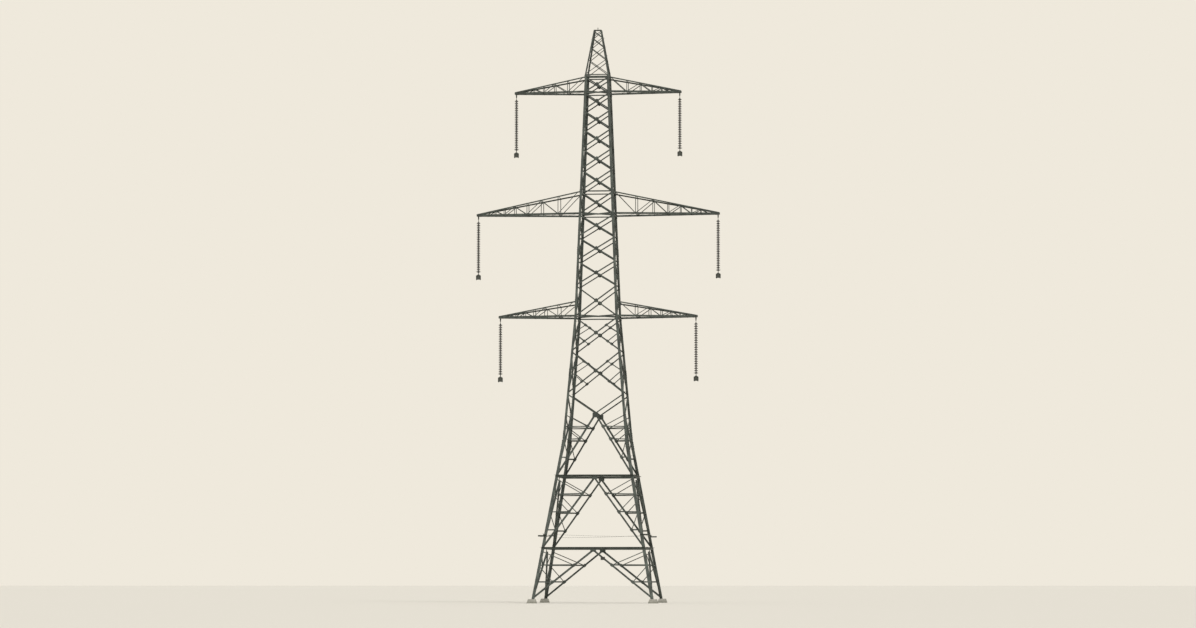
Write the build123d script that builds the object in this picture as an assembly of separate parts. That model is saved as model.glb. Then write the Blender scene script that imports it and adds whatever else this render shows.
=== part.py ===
from build123d import *
import math
import os

# Lattice transmission pylon, double circuit, modelled at half its real size, in millimetres.
# The origin is at ground level, midway between the four feet. X runs along the crossarms and
# Y along the line; the front face looks along -Y. The tower is square in plan at every level.

# Levels of the body: the first above the ground, then the rise of each above the one before
LOWER_BELT_Z = 2250
UPPER_BELT_RISE = 2975
KNEE_RISE = 1520
FORK_RISE = 1045
WAIST_RISE = 850
WAIST_NODE_RISE = 1760
BOTTOM_ARM_RISE = 1435
MIDDLE_ARM_RISE = 4275
TOP_ARM_RISE = 5110
PEAK_H = 1930

# Half widths of the body, to the outer corners of the legs
BASE_HALF = 2527
KNEE_HALF = 1341
CAGE_HALF = 900
NECK_HALF = 507
PEAK_HALF = 165

# Legs: rolled equal angles with their flanges in the two faces that meet at the corner
LOWER_LEG_W = 125
UPPER_LEG_W = 100
PEAK_LEG_W = 60
LEG_T = 10
PEAK_LEG_T = 6

# Concrete muffs round the feet of the legs
MUFF_H = 170
MUFF_BASE = 400
MUFF_TOP = 300

# Bracing of the faces
DIAGONAL_W = 70
DIAGONAL_T = 6
CROSS_W = 50
CROSS_T = 16
REDUNDANT_W = 36
REDUNDANT_T = 6
BELT_W = 75
BELT_T = 6
CORNER_GAP = 3
NODE_STEP = 70
CENTRE_GAP = 10
FORK_GAP = 3
GUSSET_HALF = 120
GUSSET_DEPTH = 150
GUSSET_RISE = 50

# Crossarms: half span, height of the root, and number of panels
BOTTOM_ARM_X = 4150
MIDDLE_ARM_X = 5080
TOP_ARM_X = 3490
BOTTOM_ARM_DEPTH = 650
MIDDLE_ARM_DEPTH = 965
TOP_ARM_DEPTH = 670
BOTTOM_ARM_PANELS = 4
MIDDLE_ARM_PANELS = 5
TOP_ARM_PANELS = 4
PANEL_RATIO = 0.82
CHORD_W = 75
CHORD_T = 6
TOP_CHORD_W = 55
TOP_CHORD_T = 6
LACING_W = 30
LACING_T = 6
LACING_LAP = 2
TIP_HALF = 70
TIP_H = 90
TIP_PLATE_L = 200
TIP_PLATE_T = 10
CLEAT_T = 10
CLEAT_REACH = 70

# Panels of the body between the arms
CAGE_PANELS = 3
HEAD_PANELS = 5

# Peak above the top crossarm
NECK_RISE = 60
PEAK_PANELS = 2
CAP_T = 12

# Hanger at each arm tip, and the shackle that swings on its pin
HANGER_INSET = 65
HANGER_DROP = 75
HANGER_T = 16
HANGER_R = 26
PIN_R = 9
PIN_PLAY = 0.05
CHEEK_T = 9
CHEEK_PLAY = 1.5
CHEEK_W = 40
SHACKLE_DROP = 62
BRIDGE_H = 18
LINK_W = 20
LINK_DROP = 150

# Insulator strings
DISC_COUNT = 22
DISC_PITCH = 97
DISC_R = 80
DISC_H = 44
CORE_R = 24
SKIRT_LAP = 8
DISC_SIDES = 6

# Yoke and the four conductor clamps below each string
YOKE_LINK = 70
YOKE_T = 12
BUNDLE = 152
YOKE_DROP = 60
YOKE_EDGE = 26
CLAMP_W = 30
CLAMP_L = 130
CONDUCTOR_R = 7.15

# Earth wire clamp on the peak
EARTH_POST_H = 70
EARTH_POST_W = 60
EARTH_POST_T = 16
EARTH_CLAMP_W = 28
EARTH_CLAMP_L = 110
EARTH_WIRE_R = 5

# Climbing guard brackets on the legs
GUARD_Z = 2780
GUARD_REACH = 240
GUARD_BAR_W = 45
GUARD_BAR_T = 6

# Bare plate on the front face
PLATE_X = 400
PLATE_W = 180
PLATE_H = 130
PLATE_T = 3

# Levels and slopes that follow from the sizes above
UPPER_BELT_Z = LOWER_BELT_Z + UPPER_BELT_RISE
KNEE_Z = UPPER_BELT_Z + KNEE_RISE
FORK_Z = KNEE_Z + FORK_RISE
WAIST_Z = FORK_Z + WAIST_RISE
WAIST_NODE_Z = WAIST_Z + WAIST_NODE_RISE
BOTTOM_ARM_Z = WAIST_NODE_Z + BOTTOM_ARM_RISE
MIDDLE_ARM_Z = BOTTOM_ARM_Z + MIDDLE_ARM_RISE
TOP_ARM_Z = MIDDLE_ARM_Z + TOP_ARM_RISE
PEAK_BASE_Z = TOP_ARM_Z + TOP_ARM_DEPTH + NECK_RISE
PEAK_TOP_Z = PEAK_BASE_Z + PEAK_H
PROFILE = [
    (0, BASE_HALF),
    (KNEE_Z, KNEE_HALF),
    (BOTTOM_ARM_Z, CAGE_HALF),
    (PEAK_BASE_Z, NECK_HALF),
    (PEAK_TOP_Z, PEAK_HALF),
]
REACH = BASE_HALF + MUFF_BASE


def stretch(z):
    """The straight stretch of the body that holds the level z."""
    for low, high in zip(PROFILE, PROFILE[1:]):
        if z <= high[0]:
            return low, high
    return PROFILE[-2], PROFILE[-1]


def half_width(z, level=None):
    """Half width of the body at z, on the stretch that holds level, or z itself."""
    (z0, w0), (z1, w1) = stretch(z if level is None else level)
    return w0 + (w1 - w0) * (z - z0) / (z1 - z0)


def inward(level):
    """Square to the front face at a level, pointing into the tower."""
    (z0, w0), (z1, w1) = stretch(level)
    return Vector(0, z1 - z0, w1 - w0).normalized()


def outward(level):
    return inward(level) * -1


def on_face(x, z, level=None, layer=LEG_T):
    """A point of the front face, as deep below its outer surface as layer says."""
    return Vector(x, layer - half_width(z, level), z)


def angle(width, thick, edge=1):
    """Equal angle: one flange lies on the seat, the other stands up at one edge."""
    half = width / 2 * edge
    inner = half - thick * edge
    return [(-half, 0), (half, 0), (half, width), (inner, width), (inner, thick), (-half, thick)]


def flat(width, thick):
    return [(-width / 2, 0), (width / 2, 0), (width / 2, thick), (-width / 2, thick)]


def bar(p, q, inside, section):
    """Straight member from p to q. Section points are across the seat and off it."""
    p = Vector(p)
    along = Vector(q) - p
    unit = along.normalized()
    off = (Vector(inside) - unit * Vector(inside).dot(unit)).normalized()
    across = off.cross(unit)
    corners = [p + across * a + off * b for a, b in section]
    return Solid.extrude(Face(Wire.make_polygon(corners)), along)


def block(x0, x1, y0, y1, z0, z1):
    return Pos((x0 + x1) / 2, (y0 + y1) / 2, (z0 + z1) / 2) * Box(x1 - x0, y1 - y0, z1 - z0)


def fuse(pieces):
    first, *rest = pieces
    return first.fuse(*rest).clean() if rest else first


def body_prism(z0, z1, margin):
    """The body between two levels, seen from the front, less a margin at both sides."""
    levels = [z0] + [z for z, _ in PROFILE if z0 < z < z1] + [z1]
    side = [(half_width(z) - margin, z) for z in levels]
    outline = side + [(-x, z) for x, z in reversed(side)]
    wire = Wire.make_polygon([(x, -REACH, z) for x, z in outline])
    return Solid.extrude(Face(wire), Vector(0, 2 * REACH, 0))


def quarter_turns(shape):
    """The same piece on the front, right, back and left of the tower."""
    return [shape.rotate(Axis.Z, 90 * k) for k in range(4)]


FACES = ["front", "right", "back", "left"]
CORNERS = ["front_right", "back_right", "back_left", "front_left"]
parts = {}


def add(name, *shapes):
    parts[name] = [solid for shape in shapes for solid in shape.solids()]


# Concrete muffs


def draft(low, high, height):
    """Taper in degrees that narrows a prism from one inner radius to another over its height."""
    return math.degrees(math.atan((low - high) / height))


def muff():
    centre = BASE_HALF - LOWER_LEG_W / 3
    base = Plane((centre, -centre, 0)) * Rectangle(MUFF_BASE, MUFF_BASE)
    return extrude(base, MUFF_H, taper=draft(MUFF_BASE / 2, MUFF_TOP / 2, MUFF_H))


add("concrete_muffs", *quarter_turns(muff()))


# Legs


def leg_run(z0, z1, width, thick):
    """Front right leg between two levels of one stretch, sloping with its corner."""
    middle = (z0 + z1) / 2
    c0 = half_width(z0, middle)
    c1 = half_width(z1, middle)
    plan = [(0, 0), (-width, 0), (-width, thick), (-thick, thick), (-thick, width), (0, width)]
    foot = Wire.make_polygon([(c0 + x, y - c0, z0) for x, y in plan])
    return Solid.extrude(Face(foot), Vector(c1 - c0, c0 - c1, z1 - z0))


lower_leg = leg_run(MUFF_H, KNEE_Z, LOWER_LEG_W, LEG_T)
upper_leg = fuse([
    leg_run(KNEE_Z, BOTTOM_ARM_Z, UPPER_LEG_W, LEG_T),
    leg_run(BOTTOM_ARM_Z, PEAK_BASE_Z, UPPER_LEG_W, LEG_T),
])
for corner, low, high in zip(CORNERS, quarter_turns(lower_leg), quarter_turns(upper_leg)):
    add(f"lower_leg_{corner}", low)
    add(f"upper_leg_{corner}", high)


# Lower bracing: on each face, three storeys of an inverted V with redundant struts to the legs


def half_truss(apex_z, foot_z, nodes):
    """Right half of one storey: the main diagonal and its struts, on the lower face plane."""
    low = MUFF_H
    margin = LEG_T + DIAGONAL_W + CORNER_GAP
    foot_x = half_width(foot_z) - LOWER_LEG_W / 2

    def on_diagonal(z):
        x = foot_x * (apex_z - z) / (apex_z - foot_z)
        return on_face(x, z, low)

    def on_leg(z):
        return on_face(half_width(z) - margin, z)

    pieces = [bar(on_diagonal(apex_z), on_face(foot_x, foot_z), inward(low), angle(DIAGONAL_W, DIAGONAL_T))]
    strut = flat(REDUNDANT_W, REDUNDANT_T)
    for z, lower in zip(nodes, nodes[1:] + [None]):
        pieces.append(bar(on_diagonal(z), on_leg(z), inward(z), strut))
        if lower:
            pieces.append(bar(on_diagonal(lower), on_leg(z - NODE_STEP), inward(z), strut))
    keep = body_prism(MUFF_H, WAIST_Z, margin)
    right = block(CENTRE_GAP, REACH, -REACH, 0, MUFF_H, apex_z)
    return fuse(pieces) & keep & right


def spread(high, low, count):
    """Levels that divide a storey evenly, without its ends."""
    return [high + (low - high) * k / (count + 1) for k in range(1, count + 1)]


storeys = [
    (LOWER_BELT_Z - NODE_STEP, MUFF_H + NODE_STEP, spread(LOWER_BELT_Z, MUFF_H, 2)),
    (UPPER_BELT_Z - NODE_STEP, LOWER_BELT_Z + NODE_STEP, spread(UPPER_BELT_Z, LOWER_BELT_Z, 3)),
    (
        FORK_Z,
        UPPER_BELT_Z + NODE_STEP,
        [(FORK_Z + KNEE_Z) / 2, KNEE_Z, (KNEE_Z + UPPER_BELT_Z) / 2],
    ),
]
halves = [half_truss(*storey) for storey in storeys]
lower_face = Compound([s for half in halves for s in (half.solids() + half.mirror(Plane.YZ).solids())])
for face, shape in zip(FACES, quarter_turns(lower_face)):
    add(f"lower_bracing_{face}", shape)


# Belts: horizontal angles on the outside of the legs, each with the gusset that the V below hangs on


def belt_side(z):
    end = half_width(z) - CORNER_GAP
    rail = bar(on_face(-end, z, layer=0), on_face(end, z, layer=0), outward(z), angle(BELT_W, BELT_T))
    plate = bar(
        on_face(0, z - GUSSET_DEPTH, layer=0),
        on_face(0, z + GUSSET_RISE, layer=0),
        inward(z),
        flat(2 * GUSSET_HALF, LEG_T * math.cos(math.atan(lean(z)))),
    )
    return fuse([rail, plate])


def lean(z):
    (z0, w0), (z1, w1) = stretch(z)
    return (w0 - w1) / (z1 - z0)


def plan_tie(z):
    """Tie in plan from the middle of the front belt to the middle of the right one."""
    run = half_width(z) - LEG_T
    start = (BELT_W / 2 + CENTRE_GAP, -run - BELT_W, z + GUSSET_RISE / 2)
    end = (run + BELT_W, -BELT_W / 2 - CENTRE_GAP, z + GUSSET_RISE / 2)
    tie = bar(start, end, (0, 0, -1), flat(REDUNDANT_W, REDUNDANT_T))
    inside = body_prism(z, z + GUSSET_RISE, LEG_T)
    return tie & inside & inside.rotate(Axis.Z, 90)


for name, z in (("lower", LOWER_BELT_Z), ("upper", UPPER_BELT_Z)):
    add(f"{name}_belt", *quarter_turns(belt_side(z)))
    add(f"{name}_plan_bracing", *quarter_turns(plan_tie(z)))


# Fork gussets: bent plates where the long diagonals of the top storey meet the waist


HALF_DIAGONAL_Z = WAIST_Z - CROSS_W


def fork_top(z):
    """Depth of the half diagonals above the fork, from the fork to the legs at the waist."""
    y0 = LEG_T - half_width(FORK_Z, MUFF_H)
    y1 = LEG_T - half_width(HALF_DIAGONAL_Z)
    return y0 + (y1 - y0) * (z - FORK_Z) / (HALF_DIAGONAL_Z - FORK_Z)


def fork_gusset():
    y = fork_top(FORK_Z)
    low = FORK_Z - GUSSET_DEPTH
    high = FORK_Z + GUSSET_RISE
    side = [(LEG_T - half_width(low, MUFF_H), low), (y, FORK_Z), (fork_top(high), high)]
    outline = side + [(a - LEG_T, b) for a, b in reversed(side)]
    wire = Wire.make_polygon([(-GUSSET_HALF, a, b) for a, b in outline])
    return Solid.extrude(Face(wire), Vector(2 * GUSSET_HALF, 0, 0))


add("fork_gussets", *quarter_turns(fork_gusset()))


# Waist and cage: crossed angles between the legs, panel by panel, with horizontals at the arms


def crossed_panels(levels, rails, width, thick, leg_w):
    """Crossed diagonals between neighbouring levels, and a rail at each level in rails."""
    margin = LEG_T + CROSS_W + CORNER_GAP
    pieces = []
    for low, high in zip(levels, levels[1:]):
        x0 = half_width(low, (low + high) / 2) - leg_w / 2
        x1 = half_width(high, (low + high) / 2) - leg_w / 2
        middle = (low + high) / 2
        for side in (1, -1):
            start = on_face(-side * x0, low, middle)
            end = on_face(side * x1, high, middle)
            pieces.append(bar(start, end, inward(middle), flat(width, thick)))
    for z, level in rails:
        x = half_width(z, level)
        pieces.append(bar(on_face(-x, z, level), on_face(x, z, level), inward(level), flat(width, thick)))
    keep = body_prism(levels[0] - width, levels[-1] + width, margin)
    return fuse(pieces) & keep


def graded(low, high, count):
    """Levels from low to high, each panel as tall as the body there is wide."""
    sizes = [half_width(low + (high - low) * (k + 0.5) / count) for k in range(count)]
    scale = (high - low) / sum(sizes)
    return [low + scale * sum(sizes[: k + 1]) for k in range(count)]


def waist_diagonal():
    """Right half diagonal from the fork up to the leg, its end planed where it meets the leg."""
    foot_z = FORK_Z + CROSS_W / 2
    head_z = HALF_DIAGONAL_Z
    foot = Vector(0, fork_top(foot_z), foot_z)
    head = Vector(half_width(head_z) - UPPER_LEG_W / 2, fork_top(head_z), head_z)
    inside = Vector(0, head_z - foot_z, foot.Y - head.Y)
    right = block(CENTRE_GAP, REACH, -REACH, 0, FORK_Z + FORK_GAP, WAIST_Z)
    keep = body_prism(FORK_Z, WAIST_Z, LEG_T + CROSS_W + CORNER_GAP)
    return (bar(foot, head, inside, flat(CROSS_W, CROSS_T)) & right & keep) - upper_leg


waist_levels = [WAIST_Z, WAIST_NODE_Z, BOTTOM_ARM_Z - CROSS_W]
waist_face = [
    crossed_panels(waist_levels, [], CROSS_W, CROSS_T, UPPER_LEG_W),
    waist_diagonal(),
    waist_diagonal().mirror(Plane.YZ),
]
cage_levels = [BOTTOM_ARM_Z, BOTTOM_ARM_Z + 2 * BOTTOM_ARM_DEPTH]
cage_levels += graded(cage_levels[-1], MIDDLE_ARM_Z, CAGE_PANELS)
cage_levels += [MIDDLE_ARM_Z + MIDDLE_ARM_DEPTH]
cage_levels += graded(cage_levels[-1], TOP_ARM_Z, HEAD_PANELS)
cage_levels += [TOP_ARM_Z + TOP_ARM_DEPTH]
rail_levels = [BOTTOM_ARM_Z, MIDDLE_ARM_Z, MIDDLE_ARM_Z + MIDDLE_ARM_DEPTH, TOP_ARM_Z, cage_levels[-1]]
rails = [(z, max(z, BOTTOM_ARM_Z + 1)) for z in rail_levels]
cage_face = crossed_panels(cage_levels, rails, CROSS_W, CROSS_T, UPPER_LEG_W)
for k, face in enumerate(FACES):
    add(f"waist_bracing_{face}", *[shape.rotate(Axis.Z, 90 * k) for shape in waist_face])
    add(f"cage_bracing_{face}", cage_face.rotate(Axis.Z, 90 * k))


# Plan bracing: a cross inside the body at each arm


def plan_cross(z):
    """Two flat bars from leg to leg, one each way, fused where they cross."""
    reach = half_width(z) - LEG_T
    level = z + CROSS_W
    bars = [
        bar((-reach, -side * reach, level), (reach, side * reach, level), (0, 0, 1), flat(CROSS_W, CROSS_T))
        for side in (1, -1)
    ]
    inside = body_prism(z, z + 2 * CROSS_W, LEG_T)
    return fuse(bars) & inside & inside.rotate(Axis.Z, 90)


add("arm_level_plan_bracing", *[plan_cross(z) for z in (BOTTOM_ARM_Z, MIDDLE_ARM_Z, TOP_ARM_Z)])


# Peak


def peak_side():
    """Crossed flats on the front of the peak."""
    levels = [PEAK_BASE_Z] + graded(PEAK_BASE_Z, PEAK_TOP_Z, PEAK_PANELS)
    pieces = []
    for low, high in zip(levels, levels[1:]):
        for side in (1, -1):
            start = Vector(-side * (half_width(low, high) - PEAK_LEG_W / 2), PEAK_LEG_T - half_width(low, high), low)
            end = Vector(side * (half_width(high) - PEAK_LEG_W / 2), PEAK_LEG_T - half_width(high), high)
            pieces.append(bar(start, end, inward(high), flat(LACING_W, LACING_T)))
    return pieces


def peak_frame():
    leg = leg_run(PEAK_BASE_Z, PEAK_TOP_Z, PEAK_LEG_W, PEAK_LEG_T)
    sides = [piece.rotate(Axis.Z, 90 * k) for k in range(4) for piece in peak_side()]
    cap = block(-PEAK_HALF, PEAK_HALF, -PEAK_HALF, PEAK_HALF, PEAK_TOP_Z, PEAK_TOP_Z + CAP_T)
    above = block(-REACH, REACH, -REACH, REACH, PEAK_BASE_Z, PEAK_TOP_Z + CAP_T)
    return fuse(quarter_turns(leg) + sides + [cap]) & above


add("peak_frame", peak_frame())


# Earth wire clamp


def earth_clamp():
    foot = PEAK_TOP_Z + CAP_T
    axis_z = foot + EARTH_POST_H + EARTH_CLAMP_W / 2
    grip = EARTH_CLAMP_W / 2
    post = block(-EARTH_POST_T / 2, EARTH_POST_T / 2, -EARTH_POST_W / 2, EARTH_POST_W / 2, foot, axis_z)
    barrel = block(-grip, grip, -EARTH_CLAMP_L / 2, EARTH_CLAMP_L / 2, axis_z - grip, axis_z + grip)
    bore = Pos(0, 0, axis_z) * Rot(90, 0, 0) * Cylinder(EARTH_WIRE_R, 2 * EARTH_CLAMP_L)
    return (post + barrel) - bore


add("earth_wire_clamp", earth_clamp())


# Crossarms, made on the right and mirrored


def arm_nodes(root_x, tip_x, count):
    """Places along an arm, closer together towards the tip."""
    total = (1 - PANEL_RATIO**count) / (1 - PANEL_RATIO)
    return [
        root_x + (tip_x - root_x) * (1 - PANEL_RATIO**k) / (1 - PANEL_RATIO) / total
        for k in range(count + 1)
    ]


def between(a, b, x):
    """The point of the line from a to b at x."""
    return a + (b - a) * ((x - a.X) / (b.X - a.X))


def arm_side(low_root, low_tip, high_root, high_tip, xs):
    """Back side of an arm: two chords with their upright flanges outside, and the zigzag between."""
    low_seat = Vector(0, CHORD_W / 2 - CHORD_T + LACING_LAP, CHORD_W / 2)
    high_seat = Vector(0, TOP_CHORD_W / 2 - TOP_CHORD_T + LACING_LAP, -TOP_CHORD_W / 2)
    low = [between(low_root, low_tip, x) + low_seat for x in xs]
    high = [between(high_root, high_tip, x) + high_seat for x in xs]
    inside = (low[-1] - low[0]).cross(high[0] - low[0])
    pieces = [
        bar(low_root, low_tip, (0, 0, 1), angle(CHORD_W, CHORD_T)),
        bar(high_root, high_tip, (0, 0, -1), angle(TOP_CHORD_W, TOP_CHORD_T, -1)),
    ]
    for k in range(len(xs) - 1):
        ends = (low[k], high[k + 1]) if k % 2 else (high[k], low[k + 1])
        pieces.append(bar(*ends, inside, flat(LACING_W, LACING_T)))
    return pieces


def crossarm(z, depth, tip_x, count):
    top_z = z + depth
    low_root = Vector(half_width(z) - CHORD_W, half_width(z) - UPPER_LEG_W / 2, z)
    high_root = Vector(half_width(top_z) - CHORD_W, half_width(top_z) - UPPER_LEG_W / 2, top_z)
    low_tip = Vector(tip_x, TIP_HALF, z)
    high_tip = Vector(tip_x, TIP_HALF, z + TIP_H)
    xs = arm_nodes(half_width(z), tip_x - TIP_PLATE_L / 2, count)
    back = arm_side(low_root, low_tip, high_root, high_tip, xs)
    pieces = back + [piece.mirror(Plane.XZ) for piece in back]
    for k in range(count):
        side = 1 if k % 2 else -1
        near = between(low_root, low_tip, xs[k])
        far = between(low_root, low_tip, xs[k + 1])
        start = Vector(near.X, near.Y * side, z)
        end = Vector(far.X, -far.Y * side, z)
        pieces.append(bar(start, end, (0, 0, 1), flat(LACING_W, LACING_T)))
    edge = TIP_HALF + CHORD_W / 2
    pieces.append(block(tip_x - TIP_PLATE_L, tip_x, -edge, edge, z, z + TIP_PLATE_T))
    pieces.append(block(tip_x - TIP_PLATE_T, tip_x, -edge, edge, z, z + TIP_H))
    pieces.append(hanger_plate(tip_x - HANGER_INSET, z))
    for foot_z in (z, top_z):
        pieces += cleats(foot_z)
    wedge = body_prism(z - CLEAT_REACH - 1, top_z + CLEAT_REACH + 1, 0)
    right = block(0, tip_x, -REACH, REACH, z - HANGER_DROP - HANGER_R, top_z + CLEAT_REACH)
    return (fuse(pieces) & right) - wedge


def cleats(z):
    """Plates on the outer side of both legs, which the chords run into."""
    run = [(half_width(h), h) for h in (z - CLEAT_REACH, z + CLEAT_REACH)]
    outline = [(x - CLEAT_T, h) for x, h in run] + [(x + CLEAT_T, h) for x, h in reversed(run)]
    plates = []
    for side in (1, -1):
        y0 = side * (half_width(z) - UPPER_LEG_W)
        y1 = side * (half_width(z) - CORNER_GAP)
        wire = Wire.make_polygon([(x, y0, h) for x, h in outline])
        plates.append(Solid.extrude(Face(wire), Vector(0, y1 - y0, 0)))
    return plates


def hanger_plate(x, z):
    """Plate under the arm tip with the eye for the shackle pin."""
    eye = Vector(x, 0, z - HANGER_DROP)
    turn = Pos(*eye) * Rot(90, 0, 0)
    low = eye.Z - HANGER_R
    corner = HANGER_R / 2
    right = [(x + corner, low), (x + HANGER_R, low + corner), (x + HANGER_R, z + TIP_PLATE_T / 2)]
    outline = right + [(2 * x - a, b) for a, b in reversed(right)]
    wire = Wire.make_polygon([(a, -HANGER_T / 2, b) for a, b in outline])
    web = Solid.extrude(Face(wire), Vector(0, HANGER_T, 0))
    return (web - turn * Cylinder(PIN_R + PIN_PLAY, 2 * HANGER_T)).solid()


ARMS = {
    "top": (TOP_ARM_Z, TOP_ARM_DEPTH, TOP_ARM_X, TOP_ARM_PANELS),
    "middle": (MIDDLE_ARM_Z, MIDDLE_ARM_DEPTH, MIDDLE_ARM_X, MIDDLE_ARM_PANELS),
    "bottom": (BOTTOM_ARM_Z, BOTTOM_ARM_DEPTH, BOTTOM_ARM_X, BOTTOM_ARM_PANELS),
}
for level, sizes in ARMS.items():
    arm = crossarm(*sizes)
    add(f"crossarm_{level}_right", arm)
    add(f"crossarm_{level}_left", arm.mirror(Plane.YZ))


# Insulator strings with their fittings, made with the pin at the origin


def link(z0, z1):
    """Square link between two heights."""
    return block(-LINK_W / 2, LINK_W / 2, -LINK_W / 2, LINK_W / 2, z0, z1)


def shackle():
    """Fork with its pin, and the link down to the first disc."""
    inner = HANGER_T / 2 + CHEEK_PLAY
    outer = inner + CHEEK_T
    half = CHEEK_W / 2
    pieces = [(Rot(90, 0, 0) * Cylinder(PIN_R, 2 * outer)).solid()]
    for side in (1, -1):
        y0, y1 = sorted((side * inner, side * outer))
        pieces.append(block(-half, half, y0, y1, -SHACKLE_DROP, half))
    pieces.append(block(-half, half, -outer, outer, -SHACKLE_DROP, BRIDGE_H - SHACKLE_DROP))
    pieces.append(link(-LINK_DROP, -SHACKLE_DROP))
    return fuse(pieces)


def insulator_string():
    """Discs on one core, each a skirt that widens downwards."""
    apothem = math.cos(math.pi / DISC_SIDES)
    slope = draft(DISC_R * apothem, CORE_R * apothem, DISC_H)
    run = DISC_COUNT * DISC_PITCH
    pieces = [extrude(Plane((0, 0, -LINK_DROP - run)) * RegularPolygon(CORE_R, DISC_SIDES), run).solid()]
    for k in range(DISC_COUNT):
        rim = -LINK_DROP - (k + 0.5) * DISC_PITCH - DISC_H / 2
        skirt = Plane((0, 0, rim)) * RegularPolygon(DISC_R, DISC_SIDES)
        pieces.append(extrude(skirt, DISC_H + SKIRT_LAP, taper=slope).solid())
    return fuse(pieces)


def yoke():
    """Link, yoke plate and the four clamps of the bundle."""
    top = -LINK_DROP - DISC_COUNT * DISC_PITCH
    eye = top - YOKE_LINK
    upper = eye - YOKE_DROP
    half = BUNDLE / 2 + YOKE_EDGE
    right = [(half, upper - BUNDLE), (half, upper), (YOKE_EDGE, eye)]
    outline = right + [(-x, z) for x, z in reversed(right)]
    wire = Wire.make_polygon([(x, -YOKE_T / 2, z) for x, z in outline])
    plate = Solid.extrude(Face(wire), Vector(0, YOKE_T, 0))
    centres = [(side * BUNDLE / 2, upper - drop) for side in (1, -1) for drop in (0, BUNDLE)]
    grip = CLAMP_W / 2
    reach = CLAMP_L / 2
    clamps = [block(x - grip, x + grip, -reach, reach, z - grip, z + grip) for x, z in centres]
    whole = fuse([plate, link(eye - YOKE_EDGE, top)] + clamps)
    for x, z in centres:
        whole -= Pos(x, 0, z) * Rot(90, 0, 0) * Cylinder(CONDUCTOR_R, 2 * CLAMP_L)
    return whole


string = insulator_string()
fittings = Compound([shackle().solid(), yoke().solid()])
for level, (z, depth, tip_x, count) in ARMS.items():
    for hand, side in (("left", -1), ("right", 1)):
        place = Pos(side * (tip_x - HANGER_INSET), 0, z - HANGER_DROP)
        add(f"insulator_string_{level}_{hand}", place * string)
        add(f"string_fittings_{level}_{hand}", place * fittings)


# Climbing guard: outrigger angles past the corners, on each leg


def guard_bracket(side):
    """Angle on the outside of a front leg, from its flange out past the corner."""
    z = GUARD_Z + side * (GUARD_BAR_W + CORNER_GAP) / 2
    w = half_width(z)
    root = on_face(side * (w - LOWER_LEG_W), z, layer=0)
    end = on_face(side * (w + GUARD_REACH), z, layer=0)
    return bar(root, end, outward(z), angle(GUARD_BAR_W, GUARD_BAR_T, side))


add("climbing_guard", *quarter_turns(guard_bracket(1)), *quarter_turns(guard_bracket(-1)))


# Bare plate hung on the front right diagonal


def face_plate(x):
    apex_z = LOWER_BELT_Z - NODE_STEP
    foot_z = MUFF_H + NODE_STEP
    foot_x = half_width(foot_z) - LOWER_LEG_W / 2
    z = apex_z - abs(x) * (apex_z - foot_z) / foot_x
    return bar(
        on_face(x, z - PLATE_H + DIAGONAL_W / 2),
        on_face(x, z + DIAGONAL_W / 2),
        outward(z),
        flat(PLATE_W, PLATE_T),
    )


add("number_plate", face_plate(PLATE_X))


os.makedirs("parts", exist_ok=True)
for name, solids in parts.items():
    shape = solids[0] if len(solids) == 1 else Compound(solids)
    export_step(shape, f"parts/{name}.step")
print(len(parts), "nodes", sum(len(s) for s in parts.values()), "solids")
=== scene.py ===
import bpy
import math
from mathutils import Matrix, Vector
from mathutils.bvhtree import BVHTree


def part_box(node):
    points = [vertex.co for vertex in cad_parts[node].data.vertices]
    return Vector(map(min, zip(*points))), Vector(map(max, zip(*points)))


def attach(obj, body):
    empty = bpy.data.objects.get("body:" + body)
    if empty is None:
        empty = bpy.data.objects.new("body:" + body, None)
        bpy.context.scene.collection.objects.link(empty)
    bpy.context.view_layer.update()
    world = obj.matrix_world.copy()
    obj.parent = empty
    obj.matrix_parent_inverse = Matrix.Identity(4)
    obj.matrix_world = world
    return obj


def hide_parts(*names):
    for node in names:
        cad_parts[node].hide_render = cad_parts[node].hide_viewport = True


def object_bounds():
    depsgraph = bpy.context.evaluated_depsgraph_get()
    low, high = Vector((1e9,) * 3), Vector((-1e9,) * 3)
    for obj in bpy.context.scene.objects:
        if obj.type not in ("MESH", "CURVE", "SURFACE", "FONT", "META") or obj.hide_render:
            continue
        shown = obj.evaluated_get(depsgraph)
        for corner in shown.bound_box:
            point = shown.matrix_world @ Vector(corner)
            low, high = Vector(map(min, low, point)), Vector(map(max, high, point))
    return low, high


# Lattice transmission pylon at half its real size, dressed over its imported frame. Metres, the
# CAD frame: X along the crossarms, Y along the line, Z up; the front face looks along -Y.

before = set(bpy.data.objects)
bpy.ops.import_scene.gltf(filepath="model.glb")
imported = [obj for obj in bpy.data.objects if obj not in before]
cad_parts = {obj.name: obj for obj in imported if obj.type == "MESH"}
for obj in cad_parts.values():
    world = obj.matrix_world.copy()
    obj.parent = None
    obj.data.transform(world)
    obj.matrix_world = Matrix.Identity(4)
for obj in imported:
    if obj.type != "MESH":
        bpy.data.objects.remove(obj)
cad_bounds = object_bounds()

# Levels and half widths of the body, read from the frame where a node ends there
MUFF_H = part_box("lower_leg_front_right")[0].z
FOOT_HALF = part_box("lower_leg_front_right")[1].x
KNEE_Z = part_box("upper_leg_front_right")[0].z
KNEE_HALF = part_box("upper_leg_front_right")[1].x
PEAK_BASE_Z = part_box("peak_frame")[0].z
NECK_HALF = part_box("peak_frame")[1].x
CAP_T = 0.012
PEAK_TOP_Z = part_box("peak_frame")[1].z - CAP_T
PEAK_HALF = 0.165
CAGE_HALF = 0.900

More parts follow.
